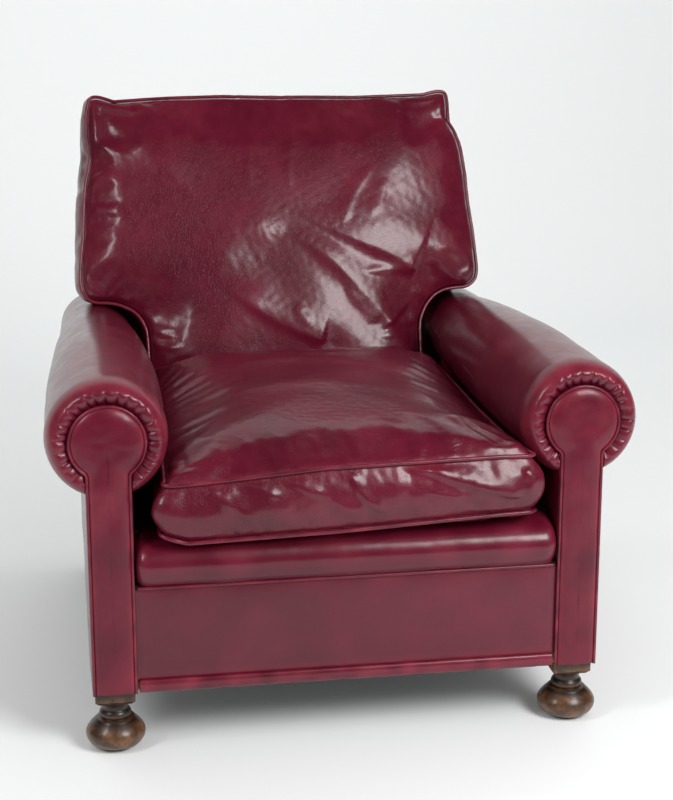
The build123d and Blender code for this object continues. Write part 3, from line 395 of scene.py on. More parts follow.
# Carded fibre stuffing, coloured dark brown as painted shade where it shows in the gaps between parts: soft, matt,
# tangled
def paintedShadeFibre(name):
    material, add = newMaterial(name)
    spot = add("TexCoord").outputs["Object"]
    tangle = add("TexNoise", {"Scale": 260.0, "Detail": 6.0, "Distortion": 2.0}, {"Vector": spot})
    # painted shade: dark brown stops, so stuffing seen in gaps reads as shadow
    mattSurface(add, tangle, [(0.3, "#2E241C"), (0.7, "#5A4836")], (0.5, 1.0), 0.95)
    return material


# Drawn steel wire and blued tacks: dull metal with slight mottling
def drawnSteel(name, colourCode, roughness):
    material, add = newMaterial(name)
    spot = add("TexCoord").outputs["Object"]
    tarnish = add("TexNoise", {"Scale": 120.0, "Detail": 3.0}, {"Vector": spot})
    gloss = add("MapRange", {"To Min": roughness, "To Max": roughness + 0.2}, {"Value": tarnish})
    closeMaterial(add, {"Base Color": hexColour(colourCode), "Metallic": 1.0}, {"Roughness": gloss})
    return material


finishes = {
    "arm_leather": glazedHide("glazedArmHide"),
    "front_leather": glazedHide("glazedFrontHide", cloudSize=420.0, mottleSize=60.0),
    "facing": glazedHide("buffedFacingHide", roughness=0.36, coat=0.36),
    "cushion_leather": glazedHide("softCushionHide", creaseSize=5.0, creaseDepth=0.34, grainDepth=0.3),
    "back_leather": glazedHide("glazedBackHide"),
    "piping": glazedHide("pipingHide", deep="#4A081C", base="#580B22", light="#661129"),
    "foot_wood": polishedWalnut("polishedWalnut"),
    "frame_wood": bareBeech("bareBeech"),
    "webbing": wovenCloth("juteWebbing", "#6E5A38", "#A8936A", 2.4),
    "hessian": wovenCloth("hessianCloth", "#7A6640", "#B09A70", 1.8),
    "deck_cloth": wovenCloth("deckCotton", "#240C10", "#3A141A", 0.8),
    "dust_cloth": wovenCloth("dustCotton", "#0A0A0A", "#1C1C1C", 0.8),
    "stuffing": paintedShadeFibre("paintedShadeFibre"),
    "spring_steel": drawnSteel("coppered", "#9A6A50", 0.35),
    "tack_steel": drawnSteel("bluedSteel", "#30343C", 0.4),
}
for row in frame["record"]["subparts"]:
    dress(nodes[row["node"]], row["material_slot"])
print("materials are made")

view = {"lens": 81.94, "turn": 9.368, "tilt": 75.035, "x": -0.4369, "reach": -2.5249, "z": 1.2231}
cameraData = bpy.data.cameras.new("viewCamera")
cameraData.lens = view["lens"]
cameraData.sensor_width = 36
camera = addObject("viewCamera", cameraData)
camera.location = (view["x"], frontY + view["reach"], view["z"])
camera.rotation_euler = (math.radians(view["tilt"]), 0, -math.radians(view["turn"]))
bpy.context.scene.camera = camera
bpy.context.scene.view_settings.view_transform = "Standard"

softBoxes = {  # where each stands, what it looks at, its size, its power, and whether the leather mirrors it
    "keyRight": ((1.3, -2.25, 1.98), (0.0, 0.2, 0.55), (1.15, 1.05), 56, True),
    "tallLeft": ((-2.06, -1.5, 2.04), (0.0, 0.2, 0.5), (0.45, 1.1), 23, True),
    "wallWash": ((0.0, 1.0, 3.4), (0.0, 3.2, 0.9), (4.0, 1.0), 45, False),
    "lowRight": ((1.5, -2.5, 1.7), (0.3, -0.5, 0.1), (0.9, 0.8), 18, False),
}
for name, (spot, target, size, power, shows) in softBoxes.items():
    lampData = bpy.data.lights.new(name, "AREA")
    lampData.shape = "RECTANGLE"
    lampData.size, lampData.size_y = size
    lampData.energy = power
    lamp = addObject(name, lampData)
    lamp.location = spot
    lamp.visible_glossy = shows
    lamp.rotation_euler = (Vector(target) - Vector(spot)).to_track_quat("-Z", "Y").to_euler()

backdrop = {
    "floor": "#EEF0F0", "glow": 0.03, "seen": 0.9, "fill": 0.42, "mirrored": 0.02,
    "half": 5.2, "front": -1.75, "bend": 2.2, "radius": 1.2, "top": 6.0,
}
world = bpy.data.worlds.new("studio")
bpy.context.scene.world = world
world.use_nodes = True
world.node_tree.nodes.clear()
add = partial(addNode, world.node_tree)
rays = add("LightPath")
seen, fill, mirrored = (add("Background", {"Color": (1, 1, 1, 1), "Strength": backdrop[key]})
                        for key in ("seen", "fill", "mirrored"))
either = add("MixShader", {}, {0: rays.outputs["Is Camera Ray"], 1: fill, 2: seen})
either = add("MixShader", {}, {0: rays.outputs["Is Glossy Ray"], 1: either, 2: mirrored})
add("OutputWorld", {}, {0: either})


# Matt painted floor, even and almost white, clear where it is seen from outside
def paintedFloor():
    material, add = newMaterial("paintedFloor")
    paint = add("BsdfPrincipled", {"Base Color": hexColour(backdrop["floor"]), "Roughness": 0.8,
                                   "Emission Color": (0.98, 1.0, 1.0, 1.0), "Emission Strength": backdrop["glow"]})
    behind = add("NewGeometry").outputs["Backfacing"]
    oneSided = add("MixShader", {}, {0: behind, 1: paint, 2: add("BsdfTransparent")})
    add("OutputMaterial", {}, {"Surface": oneSided})
    return material


def studioSweep():  # a floor that curves up into a wall behind the chair
    front, bend, radius, half = (backdrop[key] for key in ("front", "bend", "radius", "half"))
    profile = [(front, 0.0), (bend, 0.0)]
    profile += [(bend + radius * math.sin(t), radius - radius * math.cos(t)) for t in np.linspace(0.1, math.pi / 2, 12)]
    profile.append((bend + radius, backdrop["top"]))
    count = len(profile)
    mesh = bpy.data.meshes.new("studioSweep")
    mesh.from_pydata([(x, y, z) for x in (-half, half) for y, z in profile], [],
                     [(count + i, count + i + 1, i + 1, i) for i in range(count - 1)])
    sweep = addObject("studioSweep", mesh)
    shadeSmooth(sweep)
    mesh.materials.append(paintedFloor())


studioSweep()
print("camera, light and floor are in place")

foot = {
    "frontReach": 41.5, "frontHalf": chair["armCentre"], "rearReach": 812.0, "rearHalf": 330.0, "spots": 72,
    "blockSide": 60.0, "blockLow": 76.0, "chamfer": 5.0, "edgeRound": 2.0, "edgeSteps": 5, "bunTop": 47.0,
    "profile": ((0.0, 0.0), (25.6, 0.0), (27.4, 0.8), (28.0, 2.0), (27.6, 3.2), (31.2, 4.2), (35.4, 6.2), (39.0, 9.0),
                (41.8, 12.6), (43.8, 16.6), (44.9, 20.6), (45.1, 24.0), (44.5, 27.6), (43.0, 31.2), (40.8, 34.6),
                (38.0, 38.0), (34.8, 41.4), (31.9, 44.2), (29.8, 46.2), (28.9, 47.4), (28.0, 47.9), (27.2, 48.2),
                (24.0, 48.7), (22.9, 49.4), (23.4, 50.6), (24.1, 52.6), (24.3, 54.8), (23.8, 57.2), (22.6, 59.4),
                (21.2, 60.9), (20.2, 61.7), (19.8, 62.8), (19.9, 65.0), (20.6, 68.0), (21.8, 71.2), (23.3, 74.0),
                (24.5, 75.6), (24.6, 76.0), (0.0, 76.0)),
}


def turnedFoot(name, across, reach):
    profile = foot["profile"][1:-1]
    points = []
    for radius, height in profile:
        for turn in np.linspace(0, 2 * math.pi, foot["spots"], endpoint=False):
            points.append(place(across + radius * math.cos(turn), reach + radius * math.sin(turn), height))
    faces = loopFaces(len(profile), foot["spots"])
    half, low, cut, high = foot["blockSide"] / 2, foot["blockLow"], foot["chamfer"], chair["legHeight"]
    levels = ((half - cut, low - 0.05), (half - 0.6, low + cut - 0.6), (half, low + cut), (half, high - 1.2),
              (half - 0.5, high - 0.1))
    start, steps, edge = len(points), foot["edgeSteps"], foot["edgeRound"]
    for size, height in levels:
        for quarter, (signX, signY) in enumerate(((1, 1), (-1, 1), (-1, -1), (1, -1))):
            for turn in math.pi / 2 * (quarter + np.arange(steps) / (steps - 1)):
                points.append(place(across + signX * (size - edge) + edge * math.cos(turn),
                                    reach + signY * (size - edge) + edge * math.sin(turn), height))
    faces += [tuple(start + spot for spot in face) for face in loopFaces(len(levels), 4 * steps)]
    piece = makePiece(name, points, faces)
    piece.data.set_sharp_from_angle(angle=math.radians(38))
    x, y, height = (getPoints(piece) / mm - (across, frontY / mm + reach, 0)).T
    radial = np.hypot(x, y)
    # painted light and shade: full stain on the block and the bun's belly, painted dark on the bead, neck and cove and
    # at the bun's top and base
    turned = 0.08 + 0.3 * smoothStep(22.8, 24.2, radial)
    paintedLight = np.where(height < foot["bunTop"], smoothStep(30, 40, radial), np.where(height > low + 1.5, 1.0, turned))
    setWearAndPaintedShade(piece, paintedLight)
    return piece


for end in ("front", "rear"):
    for side, sign in sides:
        piece = turnedFoot(f"{end}Foot_{side}", sign * foot[end + "Half"], foot[end + "Reach"])
        finishPiece(piece, "chair", "foot_wood", f"{end}_foot_{side}")
print("feet are turned")

armFront = {
    "barHalf": 28.9, "discRadius": 53.2, "neck": 9.0, "pipeBar": 30.9, "pipeDisc": 55.2, "pipeRadius": 2.4,
    "pipeStep": 3.0, "edgeWear": 5.0, "barSpots": 46, "neckSpots": 7, "discSpots": 36,
    "insets": (0.0, 0.0, 0.0, 0.6, 1.8, 3.8, 6.8, 10.8, 15.8, 22.0, 28.3),
    "depths": (11.5, 6.0, 0.6, -1.1, -2.4, -3.8, -5.3, -6.7, -7.7, -8.2, -8.2),
}


def keyhole(half, radius):
    # the keyhole edge from the foot of its left side, round the scroll, to the foot of its right side
    neck = armFront["neck"]
    centreX, away = half + neck, radius + neck
    centreZ = -math.sqrt(away ** 2 - centreX ** 2)
    onDisc = (centreX * radius / away, centreZ * radius / away)
    turn = math.atan2(onDisc[1] - centreZ, onDisc[0] - centreX)
    low = chair["legHeight"] - chair["scrollHeight"]
    rightSide = [(half, z) for z in np.linspace(low, centreZ, armFront["barSpots"])]
    for t in np.linspace(math.pi, turn, armFront["neckSpots"])[1:]:
        rightSide.append((centreX + neck * math.cos(t), centreZ + neck * math.sin(t)))
    start = math.atan2(onDisc[1], onDisc[0])
    for t in np.linspace(start, math.pi / 2, armFront["discSpots"])[1:]:
        rightSide.append((radius * math.cos(t), radius * math.sin(t)))
    leftSide = [(-x, z) for x, z in rightSide[:-1]]
    return leftSide + rightSide[::-1]


def onScroll(sign, x, reach, z):  # a place measured from the middle of an arm's scroll
    return place(sign * chair["armCentre"] + x, reach, chair["scrollHeight"] + z)


def keyholeFacing(name, sign):
    rings = [(max(0.0, armFront["barHalf"] - inset), armFront["discRadius"] - inset, inset, depth)
             for inset, depth in zip(armFront["insets"], armFront["depths"])]
    half, radius, inset, depth = rings[-1]
    rings += [(half * share, radius * share, inset, depth) for share in (0.75, 0.5, 0.25, 0.02)]
    low = chair["legHeight"] - chair["scrollHeight"]
    points = []
    for half, radius, inset, depth in rings:
        ring = keyhole(half, radius) + [(half - 2 * half * k / 9, low) for k in range(1, 9)]
        lift = min(inset, 1.0) + 0.12 * inset
        points += [onScroll(sign, x, depth, z + lift * float(1 - smoothStep(0, 60, z - low))) for x, z in ring]
    piece = makePiece(name, points, loopFaces(len(rings), len(ring)))
    spots = getPoints(piece)
    front = smoothStep(0.0, 3.0, (frontY - spots[:, 1]) / mm + 1.0)
    waves = softWaves(spots / mm, 70, 11 + sign) * 0.5 + softWaves(spots / mm, 24, 21 + sign) * 0.18
    spots[:, 1] += waves * front * mm
    setPoints(piece, spots)
    edgePath = [onScroll(sign, x, -2.0, z) for x, z in keyhole(armFront["barHalf"], armFront["discRadius"])]
    edgeWear = bell(distanceTo(spots, edgePath), armFront["edgeWear"] * mm)
    setWearAndPaintedShade(piece, 0.25 + 0.75 * edgeWear + 0.2 * softWaves(spots / mm, 90, 5))
    return piece


def finishCord(cord, body, node, wear=0.3, size=30, seed=8):
    setWearAndPaintedShade(cord, 0.35 + wear * softWaves(getPoints(cord) / mm, size, seed))
    finishPiece(cord, body, "piping", node)


for side, sign in sides:
    facing = keyholeFacing(f"armFacing_{side}", sign)
    finishPiece(facing, "chair", "front_leather", f"arm_facing_{side}", look="facing")
    cordPath = [onScroll(sign, x, 0.0, z) for x, z in keyhole(armFront["pipeBar"], armFront["pipeDisc"])]
    cordPath = evenPath(cordPath, armFront["pipeStep"] * mm, False)
    cord = tube(f"facingPiping_{side}", cordPath, (0, 1, 0), armFront["pipeRadius"] * mm, seed=3)
    finishCord(cord, "chair", f"facing_piping_{side}")
print("arm fronts are made")

roll = {
    "reaches": (42, 300, 560, 720, 960), "halves": (353.5, 347, 343, 342, 341), "heights": (488.5, 487, 478, 470, 461),
    "radii": (90.0, 89.5, 79.0, 67.0, 59.0), "around": 480, "pleats": 30, "pleatDepth": 5.2, "tuckReach": 9.0,
    "middle": (348, 485), "wearRing": 84.0, "wearReach": 12.0, "wearWide": 20.0,
    "nose": ((55.4, 8.0), (56.6, 6.2), (58.0, 4.9), (59.6, 3.8), (61.4, 2.7), (63.4, 1.6), (65.6, 0.5), (68.0, -0.5),
             (70.2, -1.1), (72.4, -1.4), (74.6, -1.1), (76.8, -0.2), (79.0, 1.6), (81.0, 4.0), (83.0, 7.2),
             (84.8, 11.0), (86.4, 15.6), (87.8, 21.2), (88.9, 27.6), (89.6, 33.6), (89.9, 38.6)),
}


def rollSection(reach):  # half spacing, height and radius of the roll, eased between its stations
    marks = np.linspace(reach - 40, reach + 40, 9)
    marks = np.clip(marks, roll["reaches"][0], roll["reaches"][-1])
    return [float(np.mean(np.interp(marks, roll["reaches"], roll[key]))) for key in ("halves", "heights", "radii")]


def pleatField(turns, seed):  # gathers with sharp valleys, uneven in width and depth
    rng = np.random.default_rng(seed)
    widths = rng.uniform(0.7, 1.3, roll["pleats"])
    edges = np.concatenate([[0], np.cumsum(widths)]) / widths.sum() * 2 * math.pi
    which = np.clip(np.searchsorted(edges, turns, side="right") - 1, 0, roll["pleats"] - 1)
    share = (turns - edges[which]) / (edges[which + 1] - edges[which])
    depth = rng.uniform(0.6, 1.2, roll["pleats"])[which]
    reachOut = rng.uniform(-3.0, 4.0, roll["pleats"] + 1)
    valleyEnd = np.where(share < 0.5, reachOut[which], reachOut[which + 1])
    tilt = rng.uniform(-0.25, 0.25, roll["pleats"])[which] * (share - 0.5)
    return np.abs(np.sin(math.pi * share)) ** 0.38 + tilt, depth, valleyEnd


def armRoll(name, sign, seed):
    turns = np.linspace(0, 2 * math.pi, roll["around"], endpoint=False)
    puff, depth, valleyEnd = pleatField(turns, seed)
    points = []
    for radius, reach in roll["nose"]:
        fade = (1 - smoothStep(68 + valleyEnd, 80 + valleyEnd, radius)) * float(smoothStep(54.5, 58.5, radius))
        sunk = (puff - 0.86) * roll["pleatDepth"] * depth * fade
        slope = float(smoothStep(66, 88, radius))
        for turn, swell in zip(turns, sunk):
            x = (radius + swell * slope) * math.cos(turn)
            z = (radius + swell * slope) * math.sin(turn)
            depthHere = reach - swell * (1 - slope)
            if z < 0:  # tucked in behind the facing where the arm wall comes down
                tucked = float(1 - smoothStep(31.0, 35.0, abs(x)))
                depthHere = depthHere * (1 - tucked) + max(depthHere, roll["tuckReach"]) * tucked
            points.append(onScroll(sign, x, depthHere, z))
    for reach in np.linspace(44, 955, 92):
        half, height, radius = rollSection(reach)
        if reach < 90:
            ease = float(smoothStep(40, 90, reach))
            half = chair["armCentre"] * (1 - ease) + half * ease
            height = chair["scrollHeight"] * (1 - ease) + height * ease
            radius = roll["radii"][0] * (1 - ease) + radius * ease
        for turn in turns:
            x, z = sign * half + radius * math.cos(turn), height + radius * math.sin(turn)
            points.append(place(x, min(reach, rearAt(z) - 1.0), z))
        if reach > rearAt(height + 62):
            break
    piece = makePiece(name, points, loopFaces(len(points) // roll["around"], roll["around"]))
    spots, normals = getPoints(piece), getNormals(piece)
    across, reachNow, height = chairSpace(spots).T
    behindNose = band(20, 60, 880, 900, reachNow)
    around = np.arctan2(height - roll["middle"][1], across * sign - roll["middle"][0])
    flow = np.stack([reachNow, around * 60, np.zeros(len(spots))], 1)
    ripple = 0.5 * softWaves(flow * (1, 0.5, 0), 150, seed + 1) + 0.16 * softWaves(flow * (1.0, 0.35, 0), 26, seed + 2)
    gathers = softWaves(flow * (0.12, 1, 0), 12, seed + 3) * np.exp(-np.clip(reachNow - 25, 0, None) / 24) * 0.22
    pushOut(piece, spots, normals, (ripple + gathers) * behindNose)
    ring = [onScroll(sign, roll["wearRing"] * math.cos(t), roll["wearReach"], roll["wearRing"] * math.sin(t))
            for t in np.linspace(0, 2 * math.pi, 90)]
    frontWear = bell(distanceTo(getPoints(piece), ring), roll["wearWide"] * mm)
    topWear = smoothStep(0.3, 0.95, normals[:, 2]) * band(-20, 60, 350, 620, reachNow)
    setWearAndPaintedShade(piece, 0.9 * frontWear + 0.35 * topWear + 0.12 * softWaves(flow, 80, seed + 5))
    return piece


for side, sign in sides:
    armPiece = armRoll(f"armRoll_{side}", sign, 40 + 7 * sign)
    finishPiece(armPiece, "chair", "arm_leather", f"arm_roll_leather_{side}", f"arm_front_pleats_{side}")
print("arm rolls are made")


panelLook = {
    "edgeStep": 6.0, "seamWear": 7.0, "tuckWide": 12.0, "endWide": 4.0, "calm": 40.0, "waveSize": 130.0, "facing": 0.8,
}


def leatherPanel(name, node, out, dome, fade, steps, waves, seed, tuck=0.0):
    # a copy of a panel's solid, cut into a fine grid, whose outer face swells away from its edges. A tucked panel
    # draws in along its top, where it goes up under the roll
    bm = welded(nodes[node].data)
    bmesh.ops.dissolve_limit(bm, angle_limit=math.radians(0.5), verts=bm.verts, edges=bm.edges)
    low, high = (np.array(corner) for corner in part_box(node))
    for axis in range(3):
        size = steps[axis] * mm
        if not size:
            continue
        for cut in np.arange(low[axis] + size / 2, high[axis], size):
            normal, spot = np.eye(3)[axis], np.eye(3)[axis] * cut
            bmesh.ops.bisect_plane(bm, geom=bm.verts[:] + bm.edges[:] + bm.faces[:], dist=0.01 * mm,
                                   plane_co=spot, plane_no=normal)
    bmesh.ops.triangulate(bm, faces=[f for f in bm.faces if len(f.verts) > 4])
    bm.normal_update()
    out = Vector(out).normalized()
    faceVerts = {v.index for face in bm.faces if face.normal.dot(out) > panelLook["facing"] for v in face.verts}
    edgeSpots = []
    for edge in bm.edges:
        facing = [f.normal.dot(out) > panelLook["facing"] for f in edge.link_faces]
        if len(facing) == 2 and facing[0] != facing[1]:
            a, b = (np.array(v.co) for v in edge.verts)
            for share in np.linspace(0, 1, max(2, int(np.linalg.norm(b - a) / (panelLook["edgeStep"] * mm)) + 1)):
                edgeSpots.append(a + (b - a) * share)
    mesh = bpy.data.meshes.new(name)
    bm.to_mesh(mesh)
    bm.free()
    piece = addObject(name, mesh)
    spots = getPoints(piece)
    onFace = np.zeros(len(spots))
    onFace[list(faceVerts)] = 1
    gap = distanceTo(spots, edgeSpots)
    swell = dome * (1 - np.exp(-gap / (fade * mm)))
    swell += waves * softWaves(spots / mm, panelLook["waveSize"], seed) * (1 - np.exp(-gap / (panelLook["calm"] * mm)))
    if tuck:
        depth, near = spots[:, 1], panelLook["endWide"] * mm
        ends = [depth < depth.min() + near, depth > depth.max() - near]
        tops = [spots[end][np.argmax(spots[end][:, 2])] for end in ends]
        below = np.interp(depth, [top[1] for top in tops], [top[2] for top in tops]) - spots[:, 2]
        swell -= tuck * bell(below, panelLook["tuckWide"] * mm)
    spots += np.outer(onFace * swell * mm, np.array(out))
    setPoints(piece, spots)
    shadeSmooth(piece)
    piece.data.set_sharp_from_angle(angle=math.radians(40))
    setWearAndPaintedShade(piece, 0.5 * bell(gap, panelLook["seamWear"] * mm) + 0.12 * softWaves(spots / mm, 90, seed + 1))
    return piece


panels = {  # solid, outward way, slot, swell, fade of the swell, grid, waves, seed, tuck
    "outsideArm_left": ("outside_arm_left", (-1, 0, 0), "arm_leather", 3.4, 34.0, (0, 22, 22), 0.5, 60, 4.8),
    "outsideArm_right": ("outside_arm_right", (1, 0, 0), "arm_leather", 3.4, 34.0, (0, 22, 22), 0.5, 61, 4.8),
    "insideArm_left": ("inside_arm_left", (1, 0, 0), "arm_leather", 2.0, 20.0, (0, 22, 14), 0.4, 62),
    "insideArm_right": ("inside_arm_right", (-1, 0, 0), "arm_leather", 2.0, 20.0, (0, 22, 14), 0.4, 63),
    "outsideBack": ("outside_back", (0, 1, -0.19), "back_leather", 6.0, 50.0, (22, 0, 22), 0.5, 64),
    "insideBack": ("inside_back_cover", (0, -0.93, 0.37), "back_leather", 0.2, 30.0, (40, 0, 40), 0.04, 65),
    "frontPanel": ("front_panel", (0, -1, 0), "front_leather", 2.2, 18.0, (16, 0, 10), 0.44, 66),
    "backBorder": ("back_border_leather", (0, 0, 1), "back_leather", 1.5, 20.0, (22, 30, 22), 0.2, 80),
}
for name, (node, out, slot, *shape) in panels.items():
    finishPiece(leatherPanel(name, node, out, *shape), "chair", slot, node)
print("panels are stretched")


def crossBar(name, profile, half, endRound, spacing=5.0):
    # a closed profile of (reach, height) carried across the chair, with rounded ends
    centre = np.mean(np.array(profile), axis=0)
    rise = (0.0, 0.04, 0.12, 0.25, 0.42, 0.62, 0.82)
    stations = [(-half + endRound * share, share) for share in rise]
    stations += [(x, 1.0) for x in np.arange(-half + endRound, half - endRound, spacing)]
    stations += [(-x, s) for x, s in stations[len(rise) - 1::-1]]
    points = []
    for x, share in stations:
        pull = endRound * (1 - math.sqrt(max(0.0, 1 - (1 - share) ** 2)))
        for spot in profile:
            offset = np.array(spot) - centre
            size = np.linalg.norm(offset)
            points.append(place(x, *(centre + offset * max(0.05, (size - pull) / size))))
    return makePiece(name, points, loopFaces(len(stations), len(profile)))


lip = {
    "profile": ((58.0, 267.0), (30.0, 265.4), (12.0, 263.2), (7.0, 263.0), (3.4, 265.0), (-0.6, 268.6), (-5.0, 273.5),
                (-9.0, 280.0), (-12.6, 288.0), (-14.2, 296.5), (-13.4, 305.0), (-10.0, 313.5), (-4.5, 320.5),
                (2.5, 326.0), (11.0, 330.2), (20.0, 333.0), (30.0, 335.0), (42.0, 336.6), (58.0, 337.3)),
    "endRound": 17.0, "dartAt": 305.0, "pipeReach": 3.0, "pipeHeight": 263.45, "pipeRadius": 2.6, "pipeStep": 4.6,
}


def cutCorners(profile):
    cut = []
    for here, after in zip(np.array(profile), np.roll(profile, -1, 0)):
        cut += [here * 0.75 + after * 0.25, here * 0.25 + after * 0.75]
    return cut


lipPiece = crossBar("lipRoll", cutCorners(lip["profile"]), chair["lipHalf"], lip["endRound"])
across, reachNow, height = chairSpace(getPoints(lipPiece)).T
besideDart = np.abs(across) - lip["dartAt"]
dart = -1.3 * bell(besideDart, 1.5) * (1 - smoothStep(10, 30, reachNow))
flow = np.stack([across, height * 0.6, (reachNow + frontY / mm) * 0.6], 1)
ripple = 0.5 * softWaves(flow, 120, 91) + 0.10 * softWaves(flow, 28, 92)
pushOut(lipPiece, getPoints(lipPiece), getNormals(lipPiece), (dart + ripple) * (1 - smoothStep(20, 50, reachNow)))
setWearAndPaintedShade(lipPiece, 0.25 * bell(besideDart, 6) + 0.2 * softWaves(flow, 80, 93) + 0.1)
finishPiece(lipPiece, "chair", "front_leather", "lip_roll")

lipLine = [place(x, lip["pipeReach"], lip["pipeHeight"])
           for x in np.arange(-chair["lipHalf"], chair["lipHalf"] + 0.1, lip["pipeStep"])]
finishCord(tube("lipPiping", lipLine, (0, 0, 1), lip["pipeRadius"] * mm, seed=5), "chair", "lip_piping", wear=0.2)

moulding = {"low": 99.2, "high": 118.8, "rear": 12.0, "front": 2.0, "swell": 4.0, "endRound": 2.0}
middle, half = (moulding["low"] + moulding["high"]) / 2, (moulding["high"] - moulding["low"]) / 2
bead = [(moulding["rear"], moulding["low"]), (moulding["rear"], moulding["high"])]
bead += [(moulding["front"] - moulding["swell"] * math.sin(t), middle + half * math.cos(t))
         for t in np.linspace(0, math.pi, 15)]
mouldingPiece = crossBar("frontMoulding", bead, chair["lipHalf"], moulding["endRound"], spacing=8.0)
spots = getPoints(mouldingPiece)
pushOut(mouldingPiece, spots, getNormals(mouldingPiece), 0.25 * softWaves(spots / mm, 60, 95))
setWearAndPaintedShade(mouldingPiece, 0.45 + 0.3 * softWaves(getPoints(mouldingPiece) / mm, 50, 96))
finishPiece(mouldingPiece, "chair", "front_leather", "front_moulding")
print("front of the seat is made")


def relax(piece, rounds, weight=0.5):  # draws each point towards the mean of its neighbours
    points = getPoints(piece)
    flat = np.empty(len(piece.data.edges) * 2, dtype=np.int64)
    piece.data.edges.foreach_get("vertices", flat)
    edges = flat.reshape(-1, 2)
    count = np.bincount(flat, minlength=len(points))[:, None]
    for _ in range(rounds):
        total = np.zeros_like(points)
        np.add.at(total, edges[:, 0], points[edges[:, 1]])
        np.add.at(total, edges[:, 1], points[edges[:, 0]])
        points += weight * (total / count - points)
    setPoints(piece, points)


# How both cushions are made, in millimetres, and their cloth in the solver's own units
filling = {
    "voxel": 6.0, "hold": 6.5, "cordRadius": 3.2, "cordStep": 3.5, "freeFrom": 3.0, "freeBy": 16.0, "seamWear": 9.0,
    "frames": 20, "cloth": {
        "quality": 6, "mass": 0.35, "tension_stiffness": 12, "compression_stiffness": 12, "shear_stiffness": 6,
        "bending_stiffness": 0.6, "use_pressure": True, "vertex_group_mass": "seams"},
}


def puffed(piece, seamGap, cap, case):  # inflates the case like a filled cushion, its seams held
    start = getPoints(piece)
    pinned = np.exp(-((seamGap / (filling["hold"] * mm)) ** 4))
    group = piece.vertex_groups.new(name="seams")
    for index in np.nonzero(pinned > 0.02)[0]:
        group.add([int(index)], float(pinned[index]), "REPLACE")
    cloth = piece.modifiers.new("case", "CLOTH")
    own = {"uniform_pressure_force": case["pressure"], "shrink_min": case["shrink"]}
    for key, value in {**filling["cloth"], **own}.items():
        setattr(cloth.settings, key, value)
    cloth.settings.effector_weights.gravity = 0
    cloth.collision_settings.use_collision = False
    cloth.point_cache.frame_start, cloth.point_cache.frame_end = 1, filling["frames"]
    for moment in range(1, filling["frames"] + 1):
        bpy.context.scene.frame_set(moment)
    moved = readVectors(piece.evaluated_get(bpy.context.evaluated_depsgraph_get()).data, "co") - start
    piece.modifiers.clear()
    piece.vertex_groups.clear()
    bpy.context.scene.frame_set(1)
    far = np.linalg.norm(moved, axis=1)
    scale = np.where(far > 1e-9, np.minimum(far, cap * mm) / np.maximum(far, 1e-9), 0)
    setPoints(piece, start + moved * scale[:, None])
    print(piece.name, "puffed by up to", round(float(far.max() / mm), 1), "mm")


def seamDistance(spots, seams):
    return np.minimum(distanceTo(spots, seams[0]), distanceTo(spots, seams[1]))


def filledCushion(name, node, toLocal, toPlace, edge, seams, crowned, case):
    # the cushion's solid, remeshed evenly, crowned inside its piping and puffed up. Returns the piece with its points,
    # normals, own coordinates, distances to the piping, and how free it is to fold
    mesh = bpy.data.meshes.new(name)
    bm = welded(nodes[node].data)
    bm.to_mesh(mesh)
    bm.free()
    piece = addObject(name, mesh)
    step = piece.modifiers.new("even", "REMESH")
    step.mode = "VOXEL"
    step.voxel_size = filling["voxel"] * mm
    applyModifiers(piece)
    local = toLocal(getPoints(piece))
    inward = distanceTo(local * (1, 1, 0), [(x, y, 0) for x, y in edge])
    upper = crowned(local, inward)
    setPoints(piece, toPlace(local))
    relax(piece, case["rounds"], 0.5 * np.where(upper, 1.0, 0.25)[:, None])
    puffed(piece, seamDistance(getPoints(piece), seams), np.where(upper, *case["cap"]), case)
    relax(piece, 2)
    step = piece.modifiers.new("finer", "SUBSURF")
    step.levels = step.render_levels = 1
    applyModifiers(piece)
    shadeSmooth(piece)
    spots = getPoints(piece)
    seamGap = seamDistance(spots, seams)
    free = smoothStep(filling["freeFrom"] * mm, filling["freeBy"] * mm, seamGap)
    return piece, spots, getNormals(piece), toLocal(spots), seamGap, free


def cushionPiping(name, body, seams, flat, seeds):  # both piping lines of a cushion as one piece
    points, faces = [], []
    for path, seed in zip(seams, seeds):
        path = evenPath(path, filling["cordStep"] * mm, True)
        part = tube("cord", path, flat, filling["cordRadius"] * mm, True, 0.03, seed)
        start = len(points)
        points += [tuple(v.co) for v in part.data.vertices]
        faces += [tuple(start + i for i in polygon.vertices) for polygon in part.data.polygons]
        bpy.data.objects.remove(part)
    finishCord(makePiece(name, points, faces), body, body + "_piping", size=40, seed=9)


def foldLine(line, spacing=4.0):  # smooth curve through a few given points
    points = [np.array(p, float) for p in line]
    padded = [2 * points[0] - points[1]] + points + [2 * points[-1] - points[-2]]
    path = []
    for a, b, c, d in zip(padded, padded[1:], padded[2:], padded[3:]):
        for t in np.linspace(0, 1, 12, endpoint=False):
            bent, turned = 2 * a - 5 * b + 4 * c - d, 3 * b - a - 3 * c + d
            path.append(0.5 * (2 * b + (c - a) * t + bent * t ** 2 + turned * t ** 3))
    path.append(points[-1])
    return evenPath(path, spacing, False)


